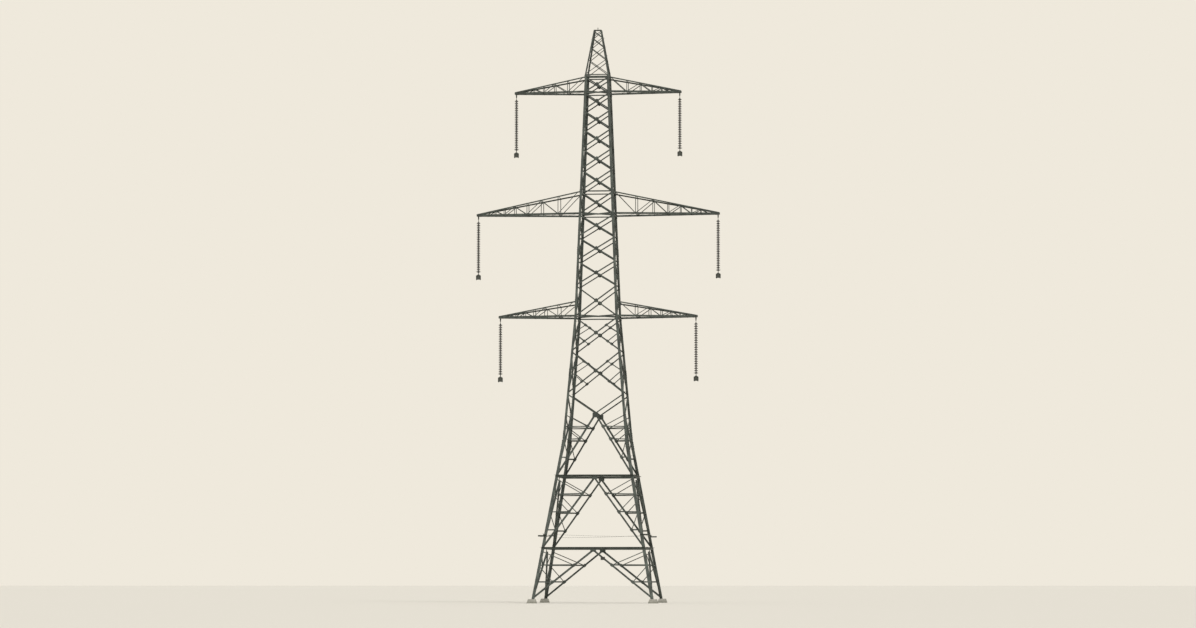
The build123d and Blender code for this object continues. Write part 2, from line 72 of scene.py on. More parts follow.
# Belts and arms, from the tops of their nodes
GUSSET_RISE = 0.050
LOWER_BELT_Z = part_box("lower_belt")[1].z - GUSSET_RISE
UPPER_BELT_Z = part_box("upper_belt")[1].z - GUSSET_RISE
FORK_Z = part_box("fork_gussets")[1].z - GUSSET_RISE
WAIST_Z = FORK_Z + 0.850
WAIST_NODE_Z = WAIST_Z + 1.760
CLEAT_REACH = 0.070
ARM_LEVELS = ("top", "middle", "bottom")
ARM_DEPTH = {"top": 0.670, "middle": 0.965, "bottom": 0.650}
ARM_TOP_Z = {level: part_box(f"crossarm_{level}_right")[1].z - CLEAT_REACH for level in ARM_LEVELS}
ARM_Z = {level: ARM_TOP_Z[level] - ARM_DEPTH[level] for level in ARM_LEVELS}
ARM_X = {level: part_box(f"crossarm_{level}_right")[1].x for level in ARM_LEVELS}
ARM_PANELS = {"top": 6, "middle": 8, "bottom": 7}

# Rolled angles: width of the legs of the section, and thickness
LOWER_LEG = (0.125, 0.010)
UPPER_LEG = (0.100, 0.010)
PEAK_LEG = (0.060, 0.006)
DIAGONAL = (0.070, 0.006)
CROSS = (0.050, 0.005)
REDUNDANT = (0.036, 0.004)
HIP = (0.030, 0.003)
BELT = (0.075, 0.006)
CHORD = (0.075, 0.006)
TOP_CHORD = (0.055, 0.006)
LACING = (0.030, 0.003)
PEAK_BELT = (0.036, 0.004)

# Root fillet and rounded toe of an angle, as shares of its thickness; ARC_BOW places the middle
# of a quarter circle, as a share of its radius
ROOT_R = 0.9
TOE_R = 0.5
ARC_BOW = 0.3

# Thicknesses and gaps of the body; JUST_BY tells the two sides of a bend apart
LEG_T = 0.010
PLATE_T = 0.005
CORNER_GAP = 0.003
CENTRE_GAP = 0.010
NODE_STEP = 0.070
JUST_BY = 0.010
CROSS_MARGIN = LEG_T + CROSS[0] + CORNER_GAP

# Panels of crossed members, and how much shorter each panel of an arm is than the last
CAGE_PANELS = 3
HEAD_PANELS = 5
PEAK_PANELS = 4
PANEL_RATIO = 0.86

# Peak and arms
PEAK_INSET = 0.030
PEAK_STEP = 0.020
CAP_CLIP = 0.030
CAP_BOLT_INSET = 0.035
ROOT_NODE = 0.060
TIP_NODE = 0.8
TIP_HALF = 0.070
TIP_H = 0.090
NOSE_CLIP = 0.020
TIP_PLATE_L = 0.200
TIP_PLATE_T = 0.010
HANGER_INSET = 0.065
HANGER_DROP = 0.075
HANGER_T = 0.016
HANGER_R = 0.026
HANGER_PLAY = 1.02

# Insulator strings and their fittings, measured down from the pin
PIN_R = 0.009
LINK_DROP = 0.150
DISC_COUNT = 22
DISC_PITCH = 0.097
DISC_R = 0.080
CAP_R = 0.029
YOKE_LINK = 0.070
YOKE_DROP = 0.060
YOKE_T = 0.012
YOKE_EDGE = 0.026
BUNDLE = 0.152
CONDUCTOR_R = 0.00715
CLAMP_R = 0.0165
CLAMP_L = 0.130
BOLT_HALF = 0.024
NUT_R = 0.0145
NUT_ARRIS_R = 0.012
NUT_HEIGHTS = (0.007, 0.009)
CHEEK_Y = 0.014
CHEEK_T = 0.009
CHEEK_R = 0.020
CROWN_DROP = 0.066
CROWN_T = 0.018
YOKE_PIN_R = 0.006
YOKE_PIN_DROP = 0.010
YOKE_TAB_T = 0.008
RING_X = 0.094
RING_Y = 0.150
RING_RISE = 0.045
RING_R = 0.005

# Plates at the nodes, with the pitch of their bolts; SPLICE_W is a share of the leg's width,
# SPLICE_ROW_X one of the plate's, and SPLICE_PITCHES the pitches that its length would hold
NODE_PLATE = (0.150, 0.120)
NODE_PITCH = 0.090
TIE_PLATE = (0.130, 0.100)
TIE_PITCH = 0.080
CROSS_PLATE = (0.150, 0.150)
CROSS_PITCH = 0.090
PLAN_PLATE = (0.160, 0.160)
PLAN_BOLT = 0.034
BELT_PLATE = (0.240, 0.200)
BELT_PLATE_DROP = 0.050
BELT_BOLT_DROP = 0.012
BELT_BOLTS = (-0.080, 0, 0.080)
BELT_END_BOLTS = (-0.030, 0.030)
SPLICE_L = 0.340
SPLICE_SHIFT = 0.190
SPLICE_RISE = 0.300
SPLICE_ROW = 4
SPLICE_PITCHES = 4.4
SPLICE_W = 0.8
SPLICE_ROW_X = 0.28
CLEAT_T = 0.008
CLEAT_BOLTS = (-0.052, 0.052)
CLEAT_ROWS = (-0.025, 0.025)

# Bolts along a member, from its end or from the node that it leaves; NOSE_SIDE and TIP_SIDE
# are shares of the half width of an arm's tip
APEX_BOLTS = (0.045, 0.085, 0.125)
FOOT_BOLTS = (0.030, 0.052)
CROSS_BOLTS = (0.022, 0.042)
END_BOLTS = (0.012, 0.034)
STRUT_BOLT = 0.022
TIE_BOLT = 0.016
RAIL_INSET = 0.020
RAIL_BOLTS = (0.012, -0.012)
CHORD_BOLTS = (-0.013, 0.013)
NOSE_BOLTS = (0.030, 0.065)
NOSE_BOLT_Y = 0.030
NOSE_SIDE = 0.75
TIP_BOLTS = (0.030, 0.080, 0.130)
TIP_SIDE = 0.72
FORK_SPOTS = ((0.038, 0.022), (0.082, 0.032), (0.030, -0.045), (0.052, -0.080), (0.074, -0.115))
GUARD_BOLTS = (0.035, 0.095)
GUARD_BOLT_RISE = 0.024
PLATE_BOLT = (0.030, 0.022)

# Set-backs of members from those that they meet, as shares of a member's width; LEAST_SINE
# keeps the gap short where two members cross at a slight angle
STRUT_BACK = 0.62
STRUT_BOLT_BACK = 0.95
TIE_BACK = 0.6
TIE_BOLT_BACK = 0.8
CROSS_BACK = 0.56
CROSS_END = 0.9
PLAN_END = 0.8
LACING_BACK = 0.35
LACING_SEAT = 0.55
PEAK_LACING_END = 0.7
PEAK_BELT_RISE = 0.6
LEAST_SINE = 0.3

# Where the short ties sit: up and down from a crossing, and off the diagonals at a hip
TIE_SHIFT = 0.030
HIP_SEAT = 0.040
HIP_SHIFT = Vector((0.012, 0, 0.014))
HIP_BOLT_SHARE = 0.02

# Bolts, pegs and wire: bolts of 20 mm and pegs of 16 mm at half size, each a little bolder, and
# wire drawn at 4 mm, since 1.25 mm wouldn't show
BOLT_ACROSS = 0.017
BOLT_HEAD = 0.0075
WASHER_ACROSS = 0.021
WASHER_T = 0.002
PEG_FOOT_Z = 3.2
PEG_TOP_GAP = 0.150
PEG_SEAT = 0.62
PEG_STEP = 0.190
PEG_L = 0.075
PEG_R = 0.005
KNOB_RATIO = 1.8
KNOB_T = 0.005
BARB_STEP = 0.095
BARB_SIZE = (0.0025, 0.0025, 0.022)
BARB_TILT = (math.radians(75), 0, math.radians(40))
WIRE_R = 0.0020
WIRE_ROWS = 4
WIRE_POINTS = 9
WIRE_SAG = 0.035
WIRE_INSET = 0.050
WIRE_END = 0.012
WIRE_RISE = 0.052

# Concrete muffs
MUFF_BASE = 0.400
MUFF_TOP = 0.300
MUFF_ARRIS = 0.012

# Corner line of the legs, as (height, half width)
PROFILE = [
    (MUFF_H, FOOT_HALF),
    (KNEE_Z, KNEE_HALF),
    (ARM_Z["bottom"], CAGE_HALF),
    (PEAK_BASE_Z, NECK_HALF),
    (PEAK_TOP_Z, PEAK_HALF),
]
FACES = ("front", "right", "back", "left")
CORNERS = ("front_right", "back_right", "back_left", "front_left")

# Directions, turns and mirrors; OTHER_FLANGE swaps the two flanges of the front right leg
X_WAY, Y_WAY, UP = Vector((1, 0, 0)), Vector((0, 1, 0)), Vector((0, 0, 1))
TURNS = [Matrix.Rotation(math.radians(90 * k), 4, "Z") for k in range(4)]
MIRROR_X = Matrix.Diagonal((-1, 1, 1, 1))
MIRROR_Y = Matrix.Diagonal((1, -1, 1, 1))
OTHER_FLANGE = Matrix(((0, -1, 0, 0), (-1, 0, 0, 0), (0, 0, 1, 0), (0, 0, 0, 1)))
CENTRE_CUT = (Vector((CENTRE_GAP, 0, 0)), X_WAY)
TINY = 1e-6


# Where things lie on the front face


def stretch(z):
    """Ends of the straight length of leg that z lies on, as (height, half width)."""
    for low, high in zip(PROFILE, PROFILE[1:]):
        if z <= high[0] + TINY:
            return low, high
    return PROFILE[-2], PROFILE[-1]


def half_width(z, level=None):
    """Half width of the body at z, on the straight length of leg at z or at another level."""
    (z0, w0), (z1, w1) = stretch(z if level is None else level)
    return w0 + (w1 - w0) * (z - z0) / (z1 - z0)


def inward(level):
    """Normal of the front face at a level, into the body."""
    (z0, w0), (z1, w1) = stretch(level)
    return Vector((0, z1 - z0, w1 - w0)).normalized()


def on_face(x, z, level=None, layer=LEG_T):
    """Point of the front face, a layer in from the outside of the legs."""
    return Vector((x, layer - half_width(z, level), z))


def leg_plane(z, side, margin):
    """Plane along a leg, set in from the corner, where the bracing of a face is cut off."""
    (z0, w0), (z1, w1) = stretch(z)
    out = Vector((side * (z1 - z0), 0, w0 - w1)).normalized()
    return Vector((side * (half_width(z) - margin), 0, z)), out


def graded(low, high, count):
    """Levels from low to high, each panel's height in step with the width of the body there."""
    sizes = [half_width(low + (high - low) * (k + 0.5) / count) for k in range(count)]
    scale = (high - low) / sum(sizes)
    return [low + scale * sum(sizes[: k + 1]) for k in range(count)]


# Steelwork: bars, plates and the places of their bolts


def rolled(width, thick, edge=1):
    """Rolled equal angle with a root fillet and rounded toes, across its seat and off it."""
    root, toe, half = thick * ROOT_R, thick * TOE_R, width / 2
    bow, near = ARC_BOW * root, ARC_BOW * toe
    heel = half - thick
    flat = [(half, 0), (-half, 0), (-half, thick - toe), (-half + near, thick - near)]
    flat += [(-half + toe, thick), (heel - root, thick)]
    flat += [(heel - bow, thick + bow), (heel, thick + root)]
    flat += [(heel, width - toe), (heel + near, width - near), (heel + toe, width), (half, width)]
    return [(a * edge, b) for a, b in flat]


def flat_bar(width, thick):
    return [(-width / 2, 0), (width / 2, 0), (width / 2, thick), (-width / 2, thick)]


class Steelwork:
    """Corners and faces of one piece in the making, and where its bolts go."""

    def __init__(self):
        self.points = []
        self.faces = []
        self.bolts = []

    def skin(self, rims):
        """Closed skin over a row of outlines with as many points each, faces outwards."""
        count = len(rims[0])
        way = sum(rims[-1], Vector()) - sum(rims[0], Vector())
        turning = sum((rims[0][k - 1].cross(rims[0][k]) for k in range(count)), Vector())
        if turning.dot(way) > 0:
            rims = [rim[::-1] for rim in rims]
        first = len(self.points)
        last = first + (len(rims) - 1) * count
        for rim in rims:
            self.points += rim
        self.faces.append([first + k for k in range(count)])
        self.faces.append([last + k for k in reversed(range(count))])
        for a in range(first, last, count):
            for k in range(count):
                after = (k + 1) % count
                self.faces.append([a + after, a + k, a + count + k, a + count + after])

    def bar(self, p, q, inside, section, start=None, end=None):
        """Bar from p to q, square at its ends or cut along the planes start and end."""
        unit = (q - p).normalized()
        off = (inside - unit * inside.dot(unit)).normalized()
        across = off.cross(unit)
        rims = []
        for place, cut in ((p, start), (q, end)):
            rim = [place + across * a + off * b for a, b in section]
            if cut:
                point, out = cut
                rim = [v + unit * ((point - v).dot(out) / unit.dot(out)) for v in rim]
            rims.append(rim)
        self.skin(rims)

    def plate(self, outline, thickness):
        """Flat plate of that outline, thickened by the vector thickness."""
        self.skin([list(outline), [v + thickness for v in outline]])

    def patch(self, centre, along, out, size, thick=PLATE_T, clip=0.18):
        """Plate with clipped corners, centred on a seat and standing off it along out."""
        along = (along - out * along.dot(out)).normalized()
        across = out.cross(along)
        a, b = size[0] / 2, size[1] / 2
        c = clip * min(size)
        rim = [(a - c, -b), (a, c - b), (a, b - c), (a - c, b)]
        rim += [(-x, -y) for x, y in rim]
        self.plate([centre + along * x + across * y for x, y in rim], out * thick)

    def bolt(self, place, out):
        self.bolts.append((place, out.normalized()))

    def bolt_pair(self, centre, along, pitch, out):
        for k in (-0.5, 0.5):
            self.bolt(centre + along * pitch * k, out)

    def add(self, other, matrix=None):
        """Adds another piece of steelwork, moved by the matrix."""
        first = len(self.points)
        matrix = matrix or Matrix.Identity(4)
        flip = matrix.determinant() < 0
        self.points += [matrix @ v for v in other.points]
        for face in other.faces:
            self.faces.append([first + k for k in (reversed(face) if flip else face)])
        turned = matrix.to_3x3()
        self.bolts += [(matrix @ place, turned @ out) for place, out in other.bolts]
        return self


def linked(name, data):
    """Object of that data in the scene, at the origin."""
    made = bpy.data.objects.new(name, data)
    bpy.context.scene.collection.objects.link(made)
    return made


def smooth_mesh(name, work, sharp_deg):
    """Mesh of the work, smooth over edges flatter than the given angle."""
    mesh = bpy.data.meshes.new(name)
    mesh.from_pydata([tuple(v) for v in work.points], [], work.faces)
    mesh.validate()
    mesh.shade_smooth()
    mesh.set_sharp_from_angle(angle=math.radians(sharp_deg))
    return mesh


def mesh_piece(name, work, material, sharp_deg=35):
    mesh = smooth_mesh(name, work, sharp_deg)
    mesh.materials.append(material)
    return linked(name, mesh)


def finish_piece(made, body, slot, *nodes):
    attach(made, body)
    if nodes:
        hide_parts(*nodes)


# Finishes


def linear(code):
    """Linear colour from an sRGB hex code."""
    values = [int(code[k : k + 2], 16) / 255 for k in (1, 3, 5)]
    values = [v / 12.92 if v <= 0.04045 else ((v + 0.055) / 1.055) ** 2.4 for v in values]
    return (*values, 1.0)


def feed(tree, node, inputs):
    """Sets a node's inputs, or links them where the value is a socket or a list of sockets."""
    for key, value in inputs.items():
        for one in value if isinstance(value, list) else [value]:
            if isinstance(one, bpy.types.NodeSocket):
                tree.links.new(one, node.inputs[key])
            else:
                node.inputs[key].default_value = one


def add_node(tree, kind, inputs=(), stops=(), **settings):
    """Adds a node with its settings, its inputs, and the (place, hex colour) stops of a ramp."""
    made = tree.nodes.new(kind)
    for key, value in settings.items():
        setattr(made, key, value)
    feed(tree, made, dict(inputs))
    for k, (place, code) in enumerate(stops):
        bands = made.color_ramp.elements
        band = bands[k] if k < 2 else bands.new(place)
        band.position = place
        band.color = linear(code)
    return made


def new_material(name):
    material = bpy.data.materials.new(name)
    material.use_nodes = True
    tree = material.node_tree
    return material, tree, tree.nodes["Principled BSDF"]


def object_noise(tree, size_mm, stretch_z=1.0, detail=3.0, roughness=0.5):
    """Noise with blotches of a real size, drawn out along Z by stretch_z."""
    where = add_node(tree, "ShaderNodeTexCoord").outputs["Object"]
    scaling = {"Vector": where, "Scale": (1, 1, 1 / stretch_z)}
    scaled = add_node(tree, "ShaderNodeMapping", scaling).outputs["Vector"]
    grain = {"Vector": scaled, "Scale": 1000 / size_mm, "Detail": detail, "Roughness": roughness}
    return add_node(tree, "ShaderNodeTexNoise", grain).outputs["Fac"]


def patches(tree, noise, low, high, under, over):
    """Colour over in patches where the noise climbs from low to high, and under elsewhere."""
    climb = {"Value": noise, "From Min": low, "From Max": high}
    mask = add_node(tree, "ShaderNodeMapRange", climb, interpolation_type="SMOOTHSTEP")
    mixed = {0: mask.outputs["Result"], 6: under, 7: linear(over)}
    return add_node(tree, "ShaderNodeMix", mixed, data_type="RGBA").outputs[2], mixed[0]


def relief(tree, size_mm, depth_mm, strength, detail=3.0):
    """Normal of a finish with bumps of a real size and depth."""
    grain = object_noise(tree, size_mm, detail=detail)
    raised = {"Strength": strength, "Distance": depth_mm / 1000, "Height": grain}
    return add_node(tree, "ShaderNodeBump", raised).outputs["Normal"]


def painted_angle_steel(name, light, middle, dark, rust):
    """Galvanised angle under old grey-green tower paint: matt and chalky, with dark runs of
    rain down the members and thin rust where the film has gone."""
    material, tree, shader = new_material(name)
    chalk = object_noise(tree, 260, detail=5.0, roughness=0.6)
    stops = [(0.34, dark), (0.66, light), (0.5, middle)]
    paint = add_node(tree, "ShaderNodeValToRGB", {"Fac": chalk}, stops).outputs["Color"]
    runs = object_noise(tree, 45, stretch_z=9.0, detail=4.0)
    soiled, _ = patches(tree, runs, 0.52, 0.78, paint, dark)
    worn = object_noise(tree, 70, detail=8.0, roughness=0.72)
    colour, _ = patches(tree, worn, 0.66, 0.76, soiled, rust)
    gloss = {"Value": chalk, "To Min": 0.58, "To Max": 0.82}
    rough = add_node(tree, "ShaderNodeMapRange", gloss).outputs["Result"]
    # Brush marks in the film are under a millimetre across: drawn at 5 mm, to show close to
    film = relief(tree, 5, 0.8, 0.5, detail=4.0)
    feed(tree, shader, {"Base Color": colour, "Roughness": rough, "Normal": film, "Metallic": 0.0})
    return material


def galvanised_forging():
    """Hot-dip galvanised forgings: dull grey zinc with a soft mottle, half rough."""
    material, tree, shader = new_material("galvanised_forging")
    mottle = object_noise(tree, 22, detail=4.0)
    stops = [(0.35, "#41443f"), (0.65, "#5b5e59")]
    zinc = add_node(tree, "ShaderNodeValToRGB", {"Fac": mottle}, stops).outputs["Color"]
    gloss = {"Value": mottle, "To Min": 0.42, "To Max": 0.68}
    rough = add_node(tree, "ShaderNodeMapRange", gloss).outputs["Result"]
    # The pits of a forging are under a millimetre across: drawn at 3 mm, to show close to
    skin = relief(tree, 3, 0.3, 0.4)
    feed(tree, shader, {"Base Color": zinc, "Roughness": rough, "Normal": skin, "Metallic": 0.7})
    return material


def brown_glazed_porcelain():
    """Fired porcelain in a grey-brown glaze: glassy and dark, with rain dust on it."""
    material, tree, shader = new_material("grey_brown_glazed_porcelain")
    stops = [(0.35, "#2b2724"), (0.68, "#3d3834")]
    pooled = object_noise(tree, 90)
    glaze = add_node(tree, "ShaderNodeValToRGB", {"Fac": pooled}, stops).outputs["Color"]
    dust = object_noise(tree, 30, detail=5.0)
    colour, dusty = patches(tree, dust, 0.5, 0.8, glaze, "#55534c")
    gloss = {"Value": dusty, "To Min": 0.12, "To Max": 0.42}
    rough = add_node(tree, "ShaderNodeMapRange", gloss).outputs["Result"]
    feed(tree, shader, {"Base Color": colour, "Roughness": rough, "IOR": 1.5, "Metallic": 0.0})
    return material


def cast_concrete():
    """Shuttered concrete: pale and matt, pitted, darker and greener near the ground."""
    material, tree, shader = new_material("cast_concrete")
    stops = [(0.3, "#85837a"), (0.7, "#aba89e")]
    cement = object_noise(tree, 160, detail=6.0, roughness=0.6)
    tone = add_node(tree, "ShaderNodeValToRGB", {"Fac": cement}, stops).outputs["Color"]
    # Air holes are 2 to 5 mm across: drawn at 9 mm, and the grain of the sand at 7 mm
    pitted, _ = patches(tree, object_noise(tree, 9, detail=2.0), 0.60, 0.70, tone, "#6d6b62")
    where = add_node(tree, "ShaderNodeTexCoord").outputs["Object"]
    height = add_node(tree, "ShaderNodeSeparateXYZ", {0: where}).outputs["Z"]
    rise = {"Value": height, "From Max": 0.12, "To Min": 0.6, "To Max": 0.0}
    damp = add_node(tree, "ShaderNodeMapRange", rise).outputs["Result"]
    greened = {0: damp, 6: pitted, 7: linear("#5f6050")}
    colour = add_node(tree, "ShaderNodeMix", greened, data_type="RGBA").outputs[2]
    cast = relief(tree, 7, 1.5, 0.7, detail=6.0)
    feed(tree, shader, {"Base Color": colour, "Roughness": 0.9, "Normal": cast})
    return material


def enamelled_plate(name, face, stain):
    """Vitreous enamel on steel sheet, bare of any lettering: smooth, a little chalked."""
    material, tree, shader = new_material(name)
    chalk = object_noise(tree, 40, stretch_z=3.0, detail=6.0)
    colour, _ = patches(tree, chalk, 0.45, 0.8, linear(face), stain)
    wave = relief(tree, 12, 0.2, 0.3)
    feed(tree, shader, {"Base Color": colour, "Roughness": 0.35, "Normal": wave})
    return material


# The tower paint's colours are its weathered grey-green darkened all over, so that the members look
# as shaded as a tower against a bright sky: painted shade over the real paint. The legs' copy is
# the same paint darkened less, lighter all over: less painted shade.
STEEL_WITH_PAINTED_SHADE = painted_angle_steel(
    "weathered_tower_paint_with_painted_shade_on_angle", "#505750", "#3e443e", "#2b302b", "#4b3e32"
)
LEG_STEEL_WITH_LESS_PAINTED_SHADE = painted_angle_steel(
    "weathered_tower_paint_with_less_painted_shade_on_legs", "#585f58", "#454b45", "#323732", "#4e4136"
)
BOLT_STEEL = painted_angle_steel(
    "weathered_bolt_zinc", "#4f524e", "#40433f", "#2e312e", "#503f33"
)
FORGED = galvanised_forging()
PORCELAIN = brown_glazed_porcelain()
CONCRETE = cast_concrete()
DARK_ENAMEL = enamelled_plate("dark_enamel_on_sheet", "#292a26", "#3b3b35")


# Legs


def leg(work, z0, z1, section):
    """Rolled angle up the front right corner, its heel on the corner line."""
    level = (z0 + z1) / 2
    rims = []
    for z in (z0, z1):
        c = half_width(z, level)
        rims.append([Vector((c + a - section[0] / 2, b - c, z)) for a, b in rolled(*section)])
    work.skin(rims)


def splice(work, z, section):
    """Cover plates on both flanges of a leg across a joint, with two rows of bolts."""
    width = section[0] * SPLICE_W
    plate = Steelwork()
    x = half_width(z) - section[0] / 2
    centre = Vector((x, -half_width(z), z))
    out = -inward(z - JUST_BY)
    up = (on_face(x, z + SPLICE_L, z, 0) - centre).normalized()
    plate.patch(centre, up, out, (SPLICE_L, width))
    for row in (-1, 1):
        for k in range(SPLICE_ROW):
            rise = SPLICE_L * (k - (SPLICE_ROW - 1) / 2) / SPLICE_PITCHES
            seat = centre + up * rise + X_WAY * row * width * SPLICE_ROW_X
            plate.bolt(seat + out * PLATE_T, out)
    work.add(plate).add(plate, OTHER_FLANGE)


def leg_set():
    """Lower and upper leg of the front right corner."""
    lower, upper = Steelwork(), Steelwork()
    leg(lower, MUFF_H, KNEE_Z, LOWER_LEG)
    leg(upper, KNEE_Z, ARM_Z["bottom"], UPPER_LEG)
    leg(upper, ARM_Z["bottom"], PEAK_BASE_Z, UPPER_LEG)
    splice(upper, KNEE_Z + SPLICE_SHIFT, UPPER_LEG)
    splice(lower, KNEE_Z - SPLICE_SHIFT, LOWER_LEG)
    splice(upper, (WAIST_Z + WAIST_NODE_Z) / 2, UPPER_LEG)
    splice(upper, (ARM_Z["middle"] + ARM_TOP_Z["bottom"]) / 2 + SPLICE_RISE, UPPER_LEG)
    return lower, upper


# Lower bracing: three storeys of an inverted V with redundant struts


def on_diagonal(apex_z, foot_z, z):
    """Point at height z of the right diagonal of a storey on the front face."""
    foot_x = half_width(foot_z) - LOWER_LEG[0] / 2
    return on_face(foot_x * (apex_z - z) / (apex_z - foot_z), z, MUFF_H)


def half_storey(apex_z, foot_z, nodes):
    """Right half of a storey on the front face."""
    work = Steelwork()
    margin = LEG_T + DIAGONAL[0] + CORNER_GAP
    inner = inward(MUFF_H)
    out = -inner
    apex, foot = on_diagonal(apex_z, foot_z, apex_z), on_diagonal(apex_z, foot_z, foot_z)
    run = (foot - apex).normalized()
    work.bar(apex, foot, inner, rolled(*DIAGONAL), CENTRE_CUT, leg_plane(foot_z, 1, margin))
    if apex_z < FORK_Z:
        for k in APEX_BOLTS:
            work.bolt(apex + run * k + out * LEG_T, out)
    for k in FOOT_BOLTS:
        work.bolt(foot - run * (k / abs(run.x)) + out * LEG_T, out)

    def strut(z_diagonal, z_leg):
        p = on_diagonal(apex_z, foot_z, z_diagonal)
        q = on_face(half_width(z_leg) - margin, z_leg)
        step = (q - p).normalized()
        start = p + step * DIAGONAL[0] * STRUT_BACK
        cut = leg_plane(z_leg, 1, margin)
        work.bar(start, q, inward(z_leg), rolled(*REDUNDANT, edge=-1), None, cut)
        work.bolt(p + step * DIAGONAL[0] * STRUT_BOLT_BACK + out * PLATE_T, out)
        work.bolt(q - step * STRUT_BOLT, out)

    strut(nodes[0], apex_z - NODE_STEP)
    for z, lower in zip(nodes, nodes[1:] + [None]):
        strut(z, z)
        node = on_diagonal(apex_z, foot_z, z)
        work.patch(node, run, out, NODE_PLATE)
        work.bolt_pair(node + out * PLATE_T, run, NODE_PITCH, out)
        if lower:
            strut(lower, z - NODE_STEP)
    return work


def spaced(high, low, count):
    """Levels that divide a storey evenly, from the top down."""
    return [high + (low - high) * k / (count + 1) for k in range(1, count + 1)]


def hip_tie(apex_z, foot_z, z):
    """Tie across the front right corner, between the diagonals of the two faces."""
    work = Steelwork()
    p = on_diagonal(apex_z, foot_z, z) + inward(MUFF_H) * HIP_SEAT + HIP_SHIFT
    q = Vector((-p.y, -p.x, p.z))
    work.bar(p, q, UP, rolled(*HIP))
    for place in (p.lerp(q, HIP_BOLT_SHARE), q.lerp(p, HIP_BOLT_SHARE)):
        work.bolt(place + UP * HIP[1], UP)
    return work


def lower_face():
    """Three storeys of an inverted V, with the hip ties at their nodes."""
    work = Steelwork()
    knee_nodes = [(FORK_Z + KNEE_Z) / 2, KNEE_Z, (KNEE_Z + UPPER_BELT_Z) / 2]
    storeys = [
        (LOWER_BELT_Z - NODE_STEP, MUFF_H + NODE_STEP, spaced(LOWER_BELT_Z, MUFF_H, 2)),
        (UPPER_BELT_Z - NODE_STEP, LOWER_BELT_Z + NODE_STEP, spaced(UPPER_BELT_Z, LOWER_BELT_Z, 3)),
        (FORK_Z, UPPER_BELT_Z + NODE_STEP, knee_nodes),
    ]
    for apex_z, foot_z, nodes in storeys:
        half = half_storey(apex_z, foot_z, nodes)
        work.add(half).add(half, MIRROR_X)
        for z in nodes:
            work.add(hip_tie(apex_z, foot_z, z))
    return work


def belt_face(z):
    """Horizontal outside the legs, and the gusset that the diagonals meet on."""
    work = Steelwork()
    out = -inward(z - JUST_BY)
    end = half_width(z) - CORNER_GAP
    work.bar(on_face(-end, z, layer=0), on_face(end, z, layer=0), out, rolled(*BELT))
    work.patch(on_face(0, z - BELT_PLATE_DROP), X_WAY, out, BELT_PLATE, LEG_T)
    leg_x = half_width(z) - LOWER_LEG[0] / 2
    rows = list(BELT_BOLTS) + [side * leg_x + dx for side in (1, -1) for dx in BELT_END_BOLTS]
    for x in rows:
        work.bolt(on_face(x, z - BELT_BOLT_DROP, layer=-BELT[1]), out)
    return work


def plan_tie(z):
    """Tie in plan from the middle of the front belt to the middle of the right one."""
    work = Steelwork()
    run = half_width(z) - LEG_T
    level = z + GUSSET_RISE / 2
    gap = BELT[0] / 2 + CENTRE_GAP
    p, q = Vector((gap, -run, level)), Vector((run, -gap, level))
    cuts = (Vector((0, -run, level)), Y_WAY), (Vector((run, 0, level)), X_WAY)
    work.bar(p, q, -UP, rolled(*REDUNDANT), *cuts)
    return work


# Waist and cage: crossed angles between the legs, with horizontals at the arms


def crossing(work, low, high):
    """One panel: a whole diagonal, one in two halves, and the plate where they meet."""
    level = (low + high) / 2
    inner = inward(level)
    out = -inner
    step = CROSS[0] * CROSS_END
    z0, z1 = low + step, high - step
    x0, x1 = (half_width(z, level) - UPPER_LEG[0] / 2 for z in (z0, z1))
    ends, runs, cuts = {}, {}, {}
    for side in (1, -1):
        p, q = on_face(-side * x0, z0, level), on_face(side * x1, z1, level)
        ends[side], runs[side] = (p, q), (q - p).normalized()
        cuts[side] = leg_plane(z0, -side, CROSS_MARGIN), leg_plane(z1, side, CROSS_MARGIN)
    centre = ends[1][0].lerp(ends[1][1], x0 / (x0 + x1))
    sine = max(LEAST_SINE, runs[1].cross(runs[-1]).length)
    gap = runs[-1] * (CROSS[0] * CROSS_BACK / sine)
    work.bar(*ends[1], inner, rolled(*CROSS), *cuts[1])
    work.bar(ends[-1][0], centre - gap, inner, rolled(*CROSS, edge=-1), cuts[-1][0])
    work.bar(centre + gap, ends[-1][1], inner, rolled(*CROSS, edge=-1), None, cuts[-1][1])
    work.patch(centre, runs[1], out, CROSS_PLATE)
    for run in runs.values():
        work.bolt_pair(centre + out * PLATE_T, run, CROSS_PITCH, out)
    for side, (p, q) in ends.items():
        for place, along in ((p, runs[side]), (q, -runs[side])):
            for k in CROSS_BOLTS:
                work.bolt(place + along * (k / abs(along.x)) + out * LEG_T, out)
    return centre, ends


def side_ties(work, centre, ends):
    """Short angles from each leg to the middles of the half diagonals beside it."""
    for side in (1, -1):
        for end, shift in ((ends[side][1], TIE_SHIFT), (ends[-side][0], -TIE_SHIFT)):
            seat = centre.lerp(end, 0.5)
            run = (end - centre).normalized()
            z = centre.z + shift
            out = -inward(z)
            root = on_face(side * (half_width(z, centre.z) - CROSS_MARGIN), z, centre.z)
            step = (root - seat).normalized()
            start = seat + step * CROSS[0] * TIE_BACK
            cut = leg_plane(z, side, CROSS_MARGIN)
            work.bar(start, root, -out, rolled(*REDUNDANT), None, cut)
            work.patch(seat, run, out, TIE_PLATE)
            work.bolt_pair(seat + out * PLATE_T, run, TIE_PITCH, out)
            work.bolt(seat + step * CROSS[0] * TIE_BOLT_BACK + out * PLATE_T, out)
            work.bolt(root - step * TIE_BOLT + out * LEG_T, out)


def rail(work, z, level):
    """Horizontal between the legs at an arm, inside their flanges."""
    x = half_width(z, level) - CROSS_MARGIN
    out = -inward(level)
    work.bar(on_face(-x, z, level), on_face(x, z, level), -out, rolled(*CROSS))
    for side in (1, -1):
        for dx in RAIL_BOLTS:
            work.bolt(on_face(side * (x - RAIL_INSET) + dx, z, level, 0), out)


